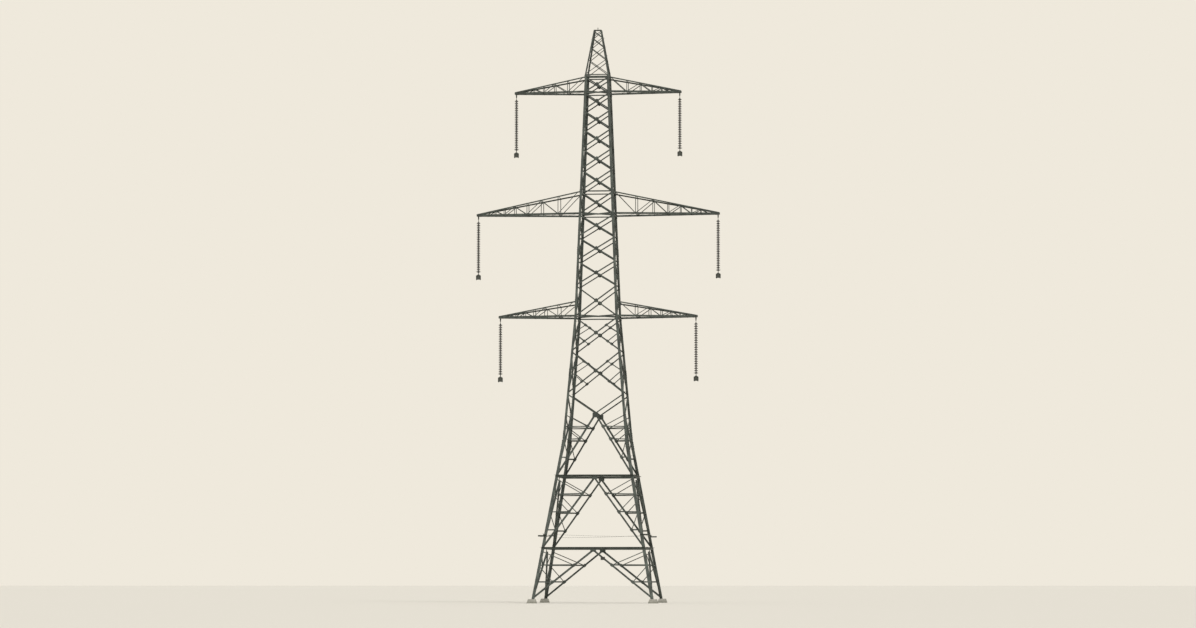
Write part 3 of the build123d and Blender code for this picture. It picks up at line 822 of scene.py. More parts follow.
def waist_face():
    """Two crossed panels with side ties, over the V that stands on the fork gusset."""
    work, half = Steelwork(), Steelwork()
    levels = [WAIST_Z, WAIST_NODE_Z, ARM_Z["bottom"]]
    for low, high in zip(levels, levels[1:]):
        side_ties(work, *crossing(work, low, high))
    head_z = WAIST_Z - CROSS[0]
    foot_z = FORK_Z + CROSS[0] / 2
    y0 = LEG_T - half_width(FORK_Z, MUFF_H)
    y1 = LEG_T - half_width(head_z)
    rise = head_z - FORK_Z
    foot = Vector((0, y0 + (y1 - y0) * (foot_z - FORK_Z) / rise, foot_z))
    head = Vector((half_width(head_z) - UPPER_LEG[0] / 2, y1, head_z))
    inside = Vector((0, head_z - foot_z, foot.y - head.y)).normalized()
    cut = leg_plane(head_z, 1, CROSS_MARGIN)
    half.bar(foot, head, inside, rolled(*CROSS, edge=-1), CENTRE_CUT, cut)
    run = (head - foot).normalized()
    for k in END_BOLTS:
        half.bolt(head - run * k - inside * LEG_T, -inside)
    return work.add(half).add(half, MIRROR_X)


def cage_face():
    """Crossed panels from the bottom arms up to the peak, with a rail at each arm."""
    work = Steelwork()
    base = ARM_Z["bottom"]
    levels = [base, base + 2 * ARM_DEPTH["bottom"]]
    levels += graded(levels[-1], ARM_Z["middle"], CAGE_PANELS)
    levels += [ARM_TOP_Z["middle"]]
    levels += graded(levels[-1], ARM_Z["top"], HEAD_PANELS)
    levels += [ARM_TOP_Z["top"]]
    for low, high in zip(levels, levels[1:]):
        crossing(work, low, high)
    # The lowest rail leans with the legs above it, not with those below
    for z in (base, ARM_Z["middle"], ARM_TOP_Z["middle"], ARM_Z["top"], ARM_TOP_Z["top"]):
        rail(work, z, max(z, base + JUST_BY))
    return work


def plan_cross(z):
    """Two angles from leg to leg at an arm, one whole and one in halves."""
    work = Steelwork()
    level = z + CROSS[0]
    middle = Vector((0, 0, level))
    corner = half_width(z) - LEG_T - CROSS[0] * PLAN_END
    foot, head = Vector((-corner, -corner, level)), Vector((corner, corner, level))
    work.bar(foot, head, UP, rolled(*CROSS))
    for side in (1, -1):
        start = Vector((-1, 1, 0)).normalized() * CROSS[0] * CROSS_BACK * side
        end = Vector((-corner * side, corner * side, level))
        work.bar(middle + start, end, UP, rolled(*CROSS))
    work.patch(middle, Vector((1, 1, 0)), -UP, PLAN_PLATE)
    for x, y in ((1, 1), (-1, -1), (1, -1), (-1, 1)):
        work.bolt(Vector((x * PLAN_BOLT, y * PLAN_BOLT, level - PLATE_T)), -UP)
    return work


# Peak


def peak_panel(side, low, high):
    """Crossed flat bars of one panel, bolted to the legs and to each other."""
    level = (low + high) / 2
    inner = inward(level)
    seat = PEAK_LEG[1]
    margin = seat + LACING[0] * PEAK_LACING_END
    z0, z1 = low + PEAK_STEP, high - PEAK_STEP
    x0, x1 = (half_width(z, level) - PEAK_LEG[0] / 2 for z in (z0, z1))
    for hand in (1, -1):
        p = on_face(-hand * x0, z0, level, seat)
        q = on_face(hand * x1, z1, level, seat)
        shift = inner * (0 if hand == 1 else LACING[1])
        cuts = leg_plane(z0, -hand, margin), leg_plane(z1, hand, margin)
        side.bar(p + shift, q + shift, inner, flat_bar(*LACING), *cuts)
        for place in (p, q):
            side.bolt(place - inner * seat, -inner)
    middle_z = z0 + (z1 - z0) * (x0 / (x0 + x1))
    side.bolt(on_face(0, middle_z, level, seat), -inner)


def peak_work():
    """Rolled legs, crossed lacing, a belt at the foot and the cap plate."""
    work, corner, side = Steelwork(), Steelwork(), Steelwork()
    leg(corner, PEAK_BASE_Z, PEAK_TOP_Z, PEAK_LEG)
    low_z, high_z = PEAK_BASE_Z + PEAK_INSET, PEAK_TOP_Z - PEAK_INSET
    levels = [low_z] + graded(low_z, high_z, PEAK_PANELS)
    for low, high in zip(levels, levels[1:]):
        peak_panel(side, low, high)
    z = PEAK_BASE_Z + PEAK_BELT[0] * PEAK_BELT_RISE
    out = -inward(z)
    end = half_width(z) - PEAK_LEG[1] - PEAK_BELT[0] - CORNER_GAP
    foot, head = (on_face(x, z, z, PEAK_LEG[1]) for x in (-end, end))
    side.bar(foot, head, -out, rolled(*PEAK_BELT))
    for hand in (-1, 1):
        for inset in END_BOLTS:
            side.bolt(on_face(hand * (end - inset), z, z, 0), out)
    for matrix in TURNS:
        work.add(corner, matrix).add(side, matrix)
    top = [Vector((x, y, PEAK_TOP_Z)) for x, y in square(PEAK_HALF, CAP_CLIP)]
    work.plate(top, UP * CAP_T)
    for x, y in square(PEAK_HALF - CAP_BOLT_INSET, CAP_CLIP):
        work.bolt(Vector((x, y, PEAK_TOP_Z + CAP_T)), UP)
    return work


def square(half, clip):
    """Outline of a square with clipped corners."""
    points = [(half - clip, -half), (half, clip - half)]
    for _ in range(3):
        points += [(-y, x) for x, y in points[-2:]]
    return points


# Crossarms


def arm_nodes(root_x, tip_x, count):
    """Places of the lacing along an arm, its panels shorter by the same ratio towards the tip."""
    shares = [1 - PANEL_RATIO**k for k in range(count + 1)]
    return [root_x + (tip_x - root_x) * share / shares[-1] for share in shares]


def between(a, b, x):
    """Point of the line through a and b at that x."""
    return a + (b - a) * ((x - a.x) / (b.x - a.x))


def arm_back(level, roots, tips, xs):
    """Back side of an arm: two chords and the lacing between them."""
    work = Steelwork()
    low_cut, high_cut = leg_plane(ARM_Z[level], 1, 0), leg_plane(ARM_TOP_Z[level], 1, 0)
    tip_cut = (tips[0] - X_WAY * TIP_PLATE_T, X_WAY)
    work.bar(roots[0], tips[0], UP, rolled(*CHORD), low_cut, tip_cut)
    work.bar(roots[1], tips[1], -UP, rolled(*TOP_CHORD, edge=-1), high_cut, tip_cut)
    low_seat = Vector((0, CHORD[0] / 2 - CHORD[1], CHORD[0] * LACING_SEAT))
    high_seat = Vector((0, TOP_CHORD[0] / 2 - TOP_CHORD[1], -TOP_CHORD[0] * LACING_SEAT))
    low = [between(roots[0], tips[0], x) + low_seat for x in xs]
    high = [between(roots[1], tips[1], x) + high_seat for x in xs]
    inside = (low[-1] - low[0]).cross(high[0] - low[0]).normalized()
    layer = inside * LACING[1]
    for k in range(len(xs) - 1):
        p, q = (low[k], high[k + 1]) if k % 2 else (high[k], low[k + 1])
        back = (q - p).normalized() * LACING[0] * LACING_BACK
        work.bar(p + back, q - back, inside, rolled(*LACING))
        if 0 < k < len(xs) - 2:
            work.bar(low[k] - layer, high[k] - layer, inside, flat_bar(*LACING))
    for a, b in zip(low, high):
        for place, seat in ((a, CHORD[1]), (b, TOP_CHORD[1])):
            for dx in CHORD_BOLTS:
                work.bolt(place - inside * seat + X_WAY * dx, -inside)
    return work


def arm_right(level):
    """Right arm at one level, from the legs to its tip."""
    z, top_z, tip_x = ARM_Z[level], ARM_TOP_Z[level], ARM_X[level]
    work = Steelwork()
    roots = [Vector((half_width(h), half_width(h) - UPPER_LEG[0] / 2, h)) for h in (z, top_z)]
    tips = [Vector((tip_x, TIP_HALF, h)) for h in (z, z + TIP_H)]
    last_x = tip_x - TIP_PLATE_L * TIP_NODE
    xs = arm_nodes(half_width(z) + ROOT_NODE, last_x, ARM_PANELS[level])
    back = arm_back(level, roots, tips, xs)
    work.add(back).add(back, MIRROR_Y)
    seats = [between(roots[0], tips[0], x) for x in xs]
    for near, far in zip(seats, seats[1:]):
        for side in (1, -1):
            lift = CHORD[1] + (0 if side == 1 else LACING[1])
            p = Vector((near.x, near.y * side, z + lift))
            q = Vector((far.x, -far.y * side, z + lift))
            work.bar(p, q, UP, flat_bar(*LACING))
            for place in (p, q):
                work.bolt(Vector((place.x, place.y, z)), -UP)
    for x in xs[1:-1:2]:
        high = between(roots[1], tips[1], x) - UP * TOP_CHORD[1]
        work.bar(high, Vector((high.x, -high.y, high.z)), -UP, flat_bar(*LACING))
    arm_tip(work, level)
    for h in (z, top_z):
        cleats(work, h)
    hanger(work, level)
    return work


def arm_tip(work, level):
    """Floor and nose plates at the tip of an arm."""
    z, tip_x = ARM_Z[level], ARM_X[level]
    edge = TIP_HALF + CHORD[0] / 2
    start, end = tip_x - TIP_PLATE_L, tip_x - TIP_PLATE_T
    side_y = edge - CHORD[1]
    rim = [(start, -side_y), (end, -side_y), (end, side_y), (start, side_y)]
    work.plate([Vector((x, y, z + CHORD[1])) for x, y in rim], UP * TIP_PLATE_T)
    half = [(edge, z), (edge, z + TIP_H - NOSE_CLIP), (edge - NOSE_CLIP, z + TIP_H)]
    nose = [(-edge, z)] + half + [(-y, h) for y, h in half[:0:-1]]
    work.plate([Vector((end, y, h)) for y, h in nose], X_WAY * TIP_PLATE_T)
    for y in (-edge * NOSE_SIDE, -NOSE_BOLT_Y, NOSE_BOLT_Y, edge * NOSE_SIDE):
        for h in NOSE_BOLTS:
            work.bolt(Vector((tip_x, y, z + h)), X_WAY)
    for inset in TIP_BOLTS:
        for side in (1, -1):
            work.bolt(Vector((start + inset, side * edge * TIP_SIDE, z)), -UP)


def cleats(work, z):
    """Plates on the outer side of both legs, bolted through the flange."""
    w = half_width(z)
    out = leg_plane(z, 1, 0)[1]
    up = Vector((-out.z, 0, out.x))
    size = (2 * CLEAT_REACH, UPPER_LEG[0] - CORNER_GAP)
    for side in (1, -1):
        centre = Vector((w, side * (w - UPPER_LEG[0] / 2 - CORNER_GAP / 2), z))
        work.patch(centre, up, out, size, CLEAT_T, clip=0.1)
        for dz in CLEAT_BOLTS:
            for dy in CLEAT_ROWS:
                work.bolt(centre + up * dz + Y_WAY * dy + out * CLEAT_T, out)


def eye_plate(work, centre, up, thick, hole, edge, reach, count=28):
    """Holed plate across Y, round on one side of its hole and square on the other, along up."""
    points = []
    axis = X_WAY.cross(up)
    for side in (-0.5, 0.5):
        for radius in (hole, None):
            for k in range(count):
                t = 2 * math.pi * k / count
                c, s = math.cos(t), math.sin(t)
                r = radius
                if r is None:
                    r = edge if s <= 0 else min(edge / max(abs(c), TINY), reach / max(s, TINY))
                points.append(centre + X_WAY * c * r + up * s * r + axis * thick * side)
    a, b, c, d = (len(work.points) + j * count for j in range(4))
    for k in range(count):
        n = (k + 1) % count
        work.faces.append([a + k, a + n, b + n, b + k])
        work.faces.append([c + n, c + k, d + k, d + n])
        work.faces.append([b + k, b + n, d + n, d + k])
        work.faces.append([a + n, a + k, c + k, c + n])
    work.points += points


def hanger(work, level):
    """Holed plate under the tip of an arm, for the pin of its string."""
    eye = Vector((ARM_X[level] - HANGER_INSET, 0, ARM_Z[level] - HANGER_DROP))
    hole = PIN_R * HANGER_PLAY
    eye_plate(work, eye, UP, HANGER_T, hole, HANGER_R, HANGER_DROP + CHORD[1])


# Turned and forged pieces

# Yoke: its tabs and pin. Clamps: bell mouth, U-bolts and their nuts. Stays of the arcing ring
TAB_R = 0.017
TAB_RISE = 0.030
YOKE_PIN_HALF = 0.021
MOUTH_L = 0.014
MOUTH_R = CONDUCTOR_R * 1.4
CLAMP_HALF = CLAMP_L / 2
HOOP_Y = 0.034
HOOP_R = 0.0028
HOOP_RISE = 0.012
HOOP_NUT_RISE = 0.008
STAY_Y = 0.008
STAY_DROP = 0.030
STAY_BOW = 0.010

# Half sections as (radius, height)
YOKE_PIN = [(YOKE_PIN_R * 1.1, -YOKE_PIN_HALF), (YOKE_PIN_R * 1.1, YOKE_PIN_HALF)]
HOOP_NUT = [(0.0055, 0.0), (0.0055, 0.005)]
STAY_NUT = [(0.010, -0.007), (0.010, 0.007)]
BALL_LINK = [(0.012, 0), (0.012, -0.020), (0.008, -0.028)]
BALL_LINK += [(0.008, -0.052), (0.017, -0.060), (0.017, -0.084)]
BALL_STEM = [(0.015, 0.0), (0.015, -0.014), (0.009, -0.022)]
BALL_STEM += [(0.009, -0.040), (0.014, -0.046), (0.014, -0.066)]
STAY_COLLAR = [(0.014, -0.037), (0.020, -0.034), (0.020, -0.026), (0.014, -0.023)]
CLAMP_BORE = [(MOUTH_R, -CLAMP_HALF), (CONDUCTOR_R, MOUTH_L - CLAMP_HALF)]
CLAMP_BORE += [(CONDUCTOR_R, CLAMP_HALF - MOUTH_L), (MOUTH_R, CLAMP_HALF)]
CLAMP_SHELL = [(CLAMP_R * 0.95, CLAMP_HALF), (CLAMP_R * 0.8, CLAMP_HALF * 0.7), (CLAMP_R, 0.020)]
CLAMP_SHELL += [(r, -h) for r, h in reversed(CLAMP_SHELL)]
KEEPER = [(0.012, -0.011), (0.025, -0.009), (0.025, 0.009), (0.012, 0.011)]
CAP = [(0.011, -0.099), (0.011, -0.040), (CAP_R + 0.005, -0.034), (CAP_R + 0.004, -0.025)]
CAP += [(CAP_R, -0.012), (0.023, -0.002), (0.015, 0.002)]

# Ribs under the skirt, then its rim, then its top up to the cap
RIM_Z = -0.0705
SKIRT = [(0.012, RIM_Z + 0.012), (0.027, RIM_Z - 0.006), (0.036, RIM_Z + 0.010)]
SKIRT += [(0.050, RIM_Z - 0.012), (0.062, RIM_Z + 0.008)]
SKIRT += [(DISC_R - 0.005, RIM_Z), (DISC_R, RIM_Z + 0.005), (DISC_R - 0.001, RIM_Z + 0.014)]
SKIRT += [(DISC_R - 0.012, RIM_Z + 0.026), (0.048, RIM_Z + 0.036), (CAP_R + 0.003, RIM_Z + 0.044)]


def wrap(work, rings, closed):
    """Faces round a row of rings, from ring to ring, with end caps unless it closes."""
    count = len(rings[0])
    first = len(work.points)
    for ring in rings:
        work.points += ring
    for j in range(len(rings) if closed else len(rings) - 1):
        a, b = first + j * count, first + (j + 1) % len(rings) * count
        for k in range(count):
            n = (k + 1) % count
            work.faces.append([a + k, a + n, b + n, b + k])
    if not closed:
        last = first + (len(rings) - 1) * count
        work.faces.append([first + k for k in reversed(range(count))])
        work.faces.append([last + k for k in range(count)])


def ring_of(centre, side, other, radius, count):
    turns = [2 * math.pi * k / count for k in range(count)]
    return [centre + (side * math.cos(t) + other * math.sin(t)) * radius for t in turns]


def lathe(work, profile, centre, axis=UP, count=16, closed=False):
    """Turned shape from a half section; a closed one is a hollow ring."""
    side = axis.orthogonal().normalized()
    other = axis.cross(side)
    loop = profile if closed else profile + [(0, profile[-1][1]), (0, profile[0][1])]
    if sum(a[0] * b[1] - b[0] * a[1] for a, b in zip(loop, loop[1:] + loop[:1])) < 0:
        profile = profile[::-1]
    rings = [ring_of(centre + axis * h, side, other, r, count) for r, h in profile]
    wrap(work, rings, closed)


def rod(work, path, radius, count=8, closed=False):
    """Round rod along a list of points, or round a closed loop of them."""
    rings = []
    side = None
    for k, place in enumerate(path):
        ahead = path[(k + 1) % len(path)] if closed else path[min(k + 1, len(path) - 1)]
        behind = path[k - 1] if closed else path[max(k - 1, 0)]
        unit = (ahead - behind).normalized()
        side = (side - unit * side.dot(unit) if side else unit.orthogonal()).normalized()
        rings.append(ring_of(place, side, unit.cross(side), radius, count))
    wrap(work, rings, closed)


def arc(centre, a, b, start, stop, count=10):
    """Points round part of a circle, from the two radius vectors a and b."""
    turns = [math.radians(start + (stop - start) * k / count) for k in range(count + 1)]
    return [centre + a * math.cos(t) + b * math.sin(t) for t in turns]


def shackle(work, pin):
    """Two cheeks on a bolt with its head and nut, the crown below them and the ball link."""
    for side in (1, -1):
        cheek = pin + Y_WAY * side * CHEEK_Y
        eye_plate(work, cheek, -UP, CHEEK_T, PIN_R, CHEEK_R, CROWN_DROP)
    lathe(work, [(PIN_R, -BOLT_HALF), (PIN_R, BOLT_HALF)], pin, Y_WAY)
    for side, height in zip((1, -1), NUT_HEIGHTS):
        nut = [(NUT_R, 0.0), (NUT_R, height), (NUT_ARRIS_R, height + 0.002)]
        lathe(work, nut, pin + Y_WAY * side * (CHEEK_Y + CHEEK_T / 2), Y_WAY * side, 6)
    base = pin - UP * CROWN_DROP
    half_y = CHEEK_Y - CHEEK_T / 2
    rim = [(CHEEK_R, -half_y), (CHEEK_R, half_y), (-CHEEK_R, half_y), (-CHEEK_R, -half_y)]
    work.plate([base + X_WAY * a + Y_WAY * b for a, b in rim], UP * CROWN_T)
    lathe(work, BALL_LINK, base)


def yoke(work, eye):
    """Plate between two holed tabs, with a suspension clamp at each of its corners."""
    hole = eye - UP * YOKE_PIN_DROP
    for side in (1, -1):
        tab = hole + Y_WAY * side * (YOKE_T / 2 + YOKE_TAB_T / 2)
        eye_plate(work, tab, UP, YOKE_TAB_T, YOKE_PIN_R, TAB_R, TAB_RISE, 20)
    lathe(work, YOKE_PIN, hole, Y_WAY, 8)
    upper = eye.z - YOKE_DROP
    low = upper - BUNDLE
    half = BUNDLE / 2 + YOKE_EDGE
    side_rim = [(half - 0.030, low - 0.004), (half - 0.009, low + 0.002), (half, low + 0.016)]
    side_rim += [(half, upper - 0.006), (half - 0.006, upper + 0.008)]
    side_rim += [(0.030, eye.z - 0.004), (0.020, eye.z)]
    rim = side_rim + [(-a, b) for a, b in reversed(side_rim)]
    work.plate([Vector((eye.x + a, -YOKE_T / 2, b)) for a, b in rim], Y_WAY * YOKE_T)
    for side in (1, -1):
        for drop in (0, BUNDLE):
            clamp(work, Vector((eye.x + side * BUNDLE / 2, 0, upper - drop)))


def clamp(work, centre):
    """Bell-mouthed suspension clamp with its keeper and two U-bolts, bored for the conductor."""
    lathe(work, CLAMP_BORE + CLAMP_SHELL, centre, Y_WAY, closed=True)
    lathe(work, KEEPER, centre, Y_WAY, closed=True)
    for dy in (-HOOP_Y, HOOP_Y):
        hoop = arc(centre + Y_WAY * dy, X_WAY * CLAMP_R, UP * CLAMP_R, 180, 360, 6)
        legs = [end + UP * HOOP_RISE for end in (hoop[0], hoop[-1])]
        rod(work, legs[:1] + hoop + legs[1:], HOOP_R, 6)
        for dx in (-CLAMP_R, CLAMP_R):
            lathe(work, HOOP_NUT, centre + Vector((dx, dy, HOOP_NUT_RISE)), count=6)


def arcing_ring(work, foot):
    """Oval ring round the lowest unit, on two bowed stays from the socket below it."""
    centre = foot + UP * RING_RISE
    ring = arc(centre, X_WAY * RING_X, Y_WAY * RING_Y, 0, 360, 32)[:-1]
    rod(work, ring, RING_R, closed=True)
    for side in (1, -1):
        start = foot + Y_WAY * side * STAY_Y - UP * STAY_DROP
        end = centre + Y_WAY * side * RING_Y
        elbow = Vector((foot.x, end.y, start.z)) + Y_WAY * side * STAY_BOW
        shares = [k / 8 for k in range(9)]
        bend = [start.lerp(elbow, t).lerp(elbow.lerp(end, t), t) for t in shares]
        rod(work, bend, RING_R * 0.9, 6)
        lathe(work, STAY_NUT, end, Y_WAY, 8)
    lathe(work, STAY_COLLAR, foot, count=12)


def fittings(pin):
    """Everything forged on one string, from the shackle at its pin down to the clamps."""
    work = Steelwork()
    foot = pin - UP * (LINK_DROP + DISC_COUNT * DISC_PITCH)
    shackle(work, pin)
    lathe(work, BALL_STEM, foot)
    yoke(work, foot - UP * YOKE_LINK)
    arcing_ring(work, foot)
    return work


def string_unit(name, profile, count):
    """One unit of a string with its top at the origin, to be repeated and not shown itself."""
    work = Steelwork()
    lathe(work, profile, Vector(), count=count)
    return bpy.data.objects.new(name, smooth_mesh(name, work, sharp_deg=50))


# Geometry Nodes for what repeats

SOCKETS = {
    float: "NodeSocketFloat",
    int: "NodeSocketInt",
    tuple: "NodeSocketVector",
    bpy.types.Material: "NodeSocketMaterial",
    bpy.types.Object: "NodeSocketObject",
}


def new_tree(name, sizes):
    """Geometry tree with a geometry socket each way and one named input per size."""
    tree = bpy.data.node_groups.new(name, "GeometryNodeTree")
    for way in ("INPUT", "OUTPUT"):
        tree.interface.new_socket("Geometry", in_out=way, socket_type="NodeSocketGeometry")
    for label, value in sizes.items():
        kind = next(socket for sort, socket in SOCKETS.items() if isinstance(value, sort))
        tree.interface.new_socket(label, in_out="INPUT", socket_type=kind)
    return tree, tree.nodes.new("NodeGroupInput").outputs, tree.nodes.new("NodeGroupOutput")


def realised(tree, group_out, geometry, material):
    """Ends a tree: its instances made real, in their material."""
    whole = add_node(tree, "GeometryNodeRealizeInstances", {"Geometry": geometry}).outputs[0]
    coat = {"Geometry": whole, "Material": material}
    feed(tree, group_out, {0: add_node(tree, "GeometryNodeSetMaterial", coat).outputs[0]})


def run_tree(name, tree, sizes, points, ways=(), edges=()):
    """Runs a tree on points, each with a way out where the tree asks, into a plain mesh object."""
    source = bpy.data.meshes.new(name)
    source.from_pydata([tuple(v) for v in points], list(edges), [])
    if ways:
        out = source.attributes.new("out", "FLOAT_VECTOR", "POINT")
        out.data.foreach_set("vector", [c for v in ways for c in v])
    carrier = linked(name, source)
    modifier = carrier.modifiers.new("repeat", "NODES")
    modifier.node_group = tree
    for item in tree.interface.items_tree:
        if item.in_out == "INPUT" and item.name in sizes:
            modifier[item.identifier] = sizes[item.name]
    evaluated = carrier.evaluated_get(bpy.context.evaluated_depsgraph_get())
    made = bpy.data.meshes.new_from_object(evaluated)
    carrier.modifiers.remove(modifier)
    carrier.data = made
    made.name = name
    if not made.materials:
        made.materials.append(sizes["Material"])
    return carrier


def stud_tree(name, sizes):
    """A foot and a head on it, both short prisms, standing out from every point."""
    tree, given, group_out = new_tree(name, sizes)
    prisms = []
    for part, sides in (("Foot", 8), ("Head", 6)):
        shape = {"Vertices": sides}
        shape |= {key: given[f"{part} {key.lower()}"] for key in ("Radius", "Depth")}
        prism = add_node(tree, "GeometryNodeMeshCylinder", shape, fill_type="NGON")
        lift = add_node(tree, "ShaderNodeCombineXYZ", {"Z": given[f"{part} height"]})
        moved = {"Geometry": prism.outputs["Mesh"], "Translation": lift.outputs[0]}
        prisms.append(add_node(tree, "GeometryNodeTransform", moved).outputs[0])
    stud = add_node(tree, "GeometryNodeJoinGeometry", {0: prisms}).outputs[0]
    kept = {"Name": "out"}
    out = add_node(tree, "GeometryNodeInputNamedAttribute", kept, data_type="FLOAT_VECTOR")
    way = {"Vector": out.outputs[0]}
    turned = add_node(tree, "FunctionNodeAlignRotationToVector", way, axis="Z").outputs[0]
    stood = {"Points": given["Geometry"], "Instance": stud, "Rotation": turned}
    spots = add_node(tree, "GeometryNodeInstanceOnPoints", stood).outputs[0]
    realised(tree, group_out, spots, given["Material"])
    return tree


def studs(name, spots, foot, head):
    """Bolts or pegs at the (place, way out) spots; foot and head are (radius, depth, height)."""
    sizes = {"Material": BOLT_STEEL}
    for part, values in (("Foot", foot), ("Head", head)):
        for key, value in zip(("radius", "depth", "height"), values):
            sizes[f"{part} {key}"] = value
    places, ways = zip(*spots)
    made = run_tree(name, stud_tree(name, sizes), sizes, places, ways)
    finish_piece(made, "tower", "weathered_steel")


def wire_tree(sizes):
    """Wire along every edge, with a short crossed barb at each step."""
    tree, given, group_out = new_tree("barbed_wire", sizes)
    strands = add_node(tree, "GeometryNodeMeshToCurve", {"Mesh": given["Geometry"]}).outputs[0]
    four_sided = {"Resolution": 4, "Radius": given["Radius"]}
    section = add_node(tree, "GeometryNodeCurvePrimitiveCircle", four_sided).outputs[0]
    drawn = {"Curve": strands, "Profile Curve": section, "Fill Caps": True}
    wire = add_node(tree, "GeometryNodeCurveToMesh", drawn).outputs[0]
    steps = {"Curve": strands, "Length": given["Barb step"]}
    spots = add_node(tree, "GeometryNodeCurveToPoints", steps, mode="LENGTH").outputs
    barb = add_node(tree, "GeometryNodeMeshCube", {"Size": given["Barb size"]}).outputs[0]
    tilt = {"Geometry": barb, "Rotation": BARB_TILT}
    crossed = add_node(tree, "GeometryNodeTransform", tilt).outputs[0]
    pair = add_node(tree, "GeometryNodeJoinGeometry", {0: [barb, crossed]}).outputs[0]
    twisted = {"Points": spots["Points"], "Instance": pair, "Rotation": spots["Rotation"]}
    barbs = add_node(tree, "GeometryNodeInstanceOnPoints", twisted).outputs[0]
    whole = add_node(tree, "GeometryNodeJoinGeometry", {0: [wire, barbs]}).outputs[0]
    realised(tree, group_out, whole, given["Material"])
    return tree


def string_tree(sizes):
    """Units of a string hung one under the other from the first point."""
    tree, given, group_out = new_tree("insulator_string", sizes)
    step = add_node(tree, "ShaderNodeCombineXYZ", {"Z": given["Step up"]}).outputs[0]
    model = {"Object": given["Unit"], "As Instance": True}
    unit = add_node(tree, "GeometryNodeObjectInfo", model).outputs["Geometry"]
    steps = {"Count": given["Count"], "Offset": step}
    line = add_node(tree, "GeometryNodeMeshLine", steps, mode="OFFSET").outputs[0]
    for points in (line, given["Geometry"]):
        hung = {"Points": points, "Instance": unit}
        unit = add_node(tree, "GeometryNodeInstanceOnPoints", hung).outputs[0]
    realised(tree, group_out, unit, given["Material"])
    return tree


# Assembly

all_bolts = []


def steel_piece(name, work, node, material=STEEL_WITH_PAINTED_SHADE):
    """Turns steelwork into the piece that stands for a node, and keeps its bolts."""
    finish_piece(mesh_piece(name, work, material), "tower", "weathered_steel", node)
    all_bolts.extend(work.bolts)


legs = dict(zip(("lower_leg", "upper_leg"), leg_set()))
faces = {"lower_bracing": lower_face(), "waist_bracing": waist_face(), "cage_bracing": cage_face()}
for face, corner, matrix in zip(FACES, CORNERS, TURNS):
    for kind, work in legs.items():
        node = f"{kind}_{corner}"
        # The legs take the copy of the paint with less painted shade, lighter than the rest of the
        # steel.
        steel_piece(f"{node}_rolled", Steelwork().add(work, matrix), node, LEG_STEEL_WITH_LESS_PAINTED_SHADE)
    for kind, work in faces.items():
        node = f"{kind}_{face}"
        steel_piece(f"{node}_angles", Steelwork().add(work, matrix), node)

for kind, z in (("lower", LOWER_BELT_Z), ("upper", UPPER_BELT_Z)):
    belt, ties = Steelwork(), Steelwork()
    for matrix in TURNS:
        belt.add(belt_face(z), matrix)
        ties.add(plan_tie(z), matrix)
    steel_piece(f"{kind}_belt_angles", belt, f"{kind}_belt")
    steel_piece(f"{kind}_plan_ties", ties, f"{kind}_plan_bracing")

crosses = Steelwork()
for level in ARM_LEVELS:
    crosses.add(plan_cross(ARM_Z[level]))
steel_piece("arm_level_plan_angles", crosses, "arm_level_plan_bracing")
steel_piece("peak_angles", peak_work(), "peak_frame")

for level in ARM_LEVELS:
    arm = arm_right(level)
    for hand, matrix in (("right", None), ("left", MIRROR_X)):
        node = f"crossarm_{level}_{hand}"
        steel_piece(f"{node}_angles", Steelwork().add(arm, matrix), node)


def bolts_on(node, spots, matrix):
    """Bolts where lines from a metre in front of a face, at each (x, z) spot, meet a CAD node."""
    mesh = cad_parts[node].data
    corners = [v.co for v in mesh.vertices]
    surface = BVHTree.FromPolygons(corners, [face.vertices for face in mesh.polygons])
    for x, z in spots:
        start = Vector((x, -half_width(z) - 1.0, z))
        place, normal, _, _ = surface.ray_cast(matrix @ start, matrix.to_3x3() @ Y_WAY)
        if place:
            all_bolts.append((place, normal))


guard_low, guard_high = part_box("climbing_guard")
guard_z = (guard_low.z + guard_high.z) / 2
guard_x = half_width(guard_z)
for matrix in TURNS:
    for hand in (1, -1):
        bolts_on("fork_gussets", [(hand * x, FORK_Z + rise) for x, rise in FORK_SPOTS], matrix)
    for side in (1, -1):
        z = guard_z + side * GUARD_BOLT_RISE
        bolts_on("climbing_guard", [(side * (guard_x - inset), z) for inset in GUARD_BOLTS], matrix)
low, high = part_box("number_plate")
xs = (low.x + PLATE_BOLT[0], high.x - PLATE_BOLT[0])
bolts_on("number_plate", [(x, high.z - PLATE_BOLT[1]) for x in xs], TURNS[0])

washer = (WASHER_ACROSS / 2, WASHER_T, WASHER_T / 2)
head = (BOLT_ACROSS / 2, BOLT_HEAD, WASHER_T + BOLT_HEAD / 2)
# Members that meet at a place share its bolt
seats = {tuple(round(c, 3) for c in place): (place, out) for place, out in all_bolts}
studs("hexagon_bolts", seats.values(), washer, head)


def step_bolts():
    """Pegs up the front right and back left legs, on one flange and then the other."""
    spots = []
    z = PEG_FOOT_Z
    while z < PEAK_TOP_Z - PEG_TOP_GAP:
        w = half_width(z)
        width = (LOWER_LEG if z < KNEE_Z else UPPER_LEG if z < PEAK_BASE_Z else PEAK_LEG)[0]
        for hand in (1, -1):
            on_front = len(spots) % 4 < 2
            x, y = (w - width * PEG_SEAT, -w) if on_front else (w, width * PEG_SEAT - w)
            spots.append((Vector((x * hand, y * hand, z)), (-Y_WAY if on_front else X_WAY) * hand))
        z += PEG_STEP
    knob = (PEG_R * KNOB_RATIO, KNOB_T, PEG_L)
    studs("step_bolts", spots, (PEG_R, PEG_L, PEG_L / 2), knob)


step_bolts()


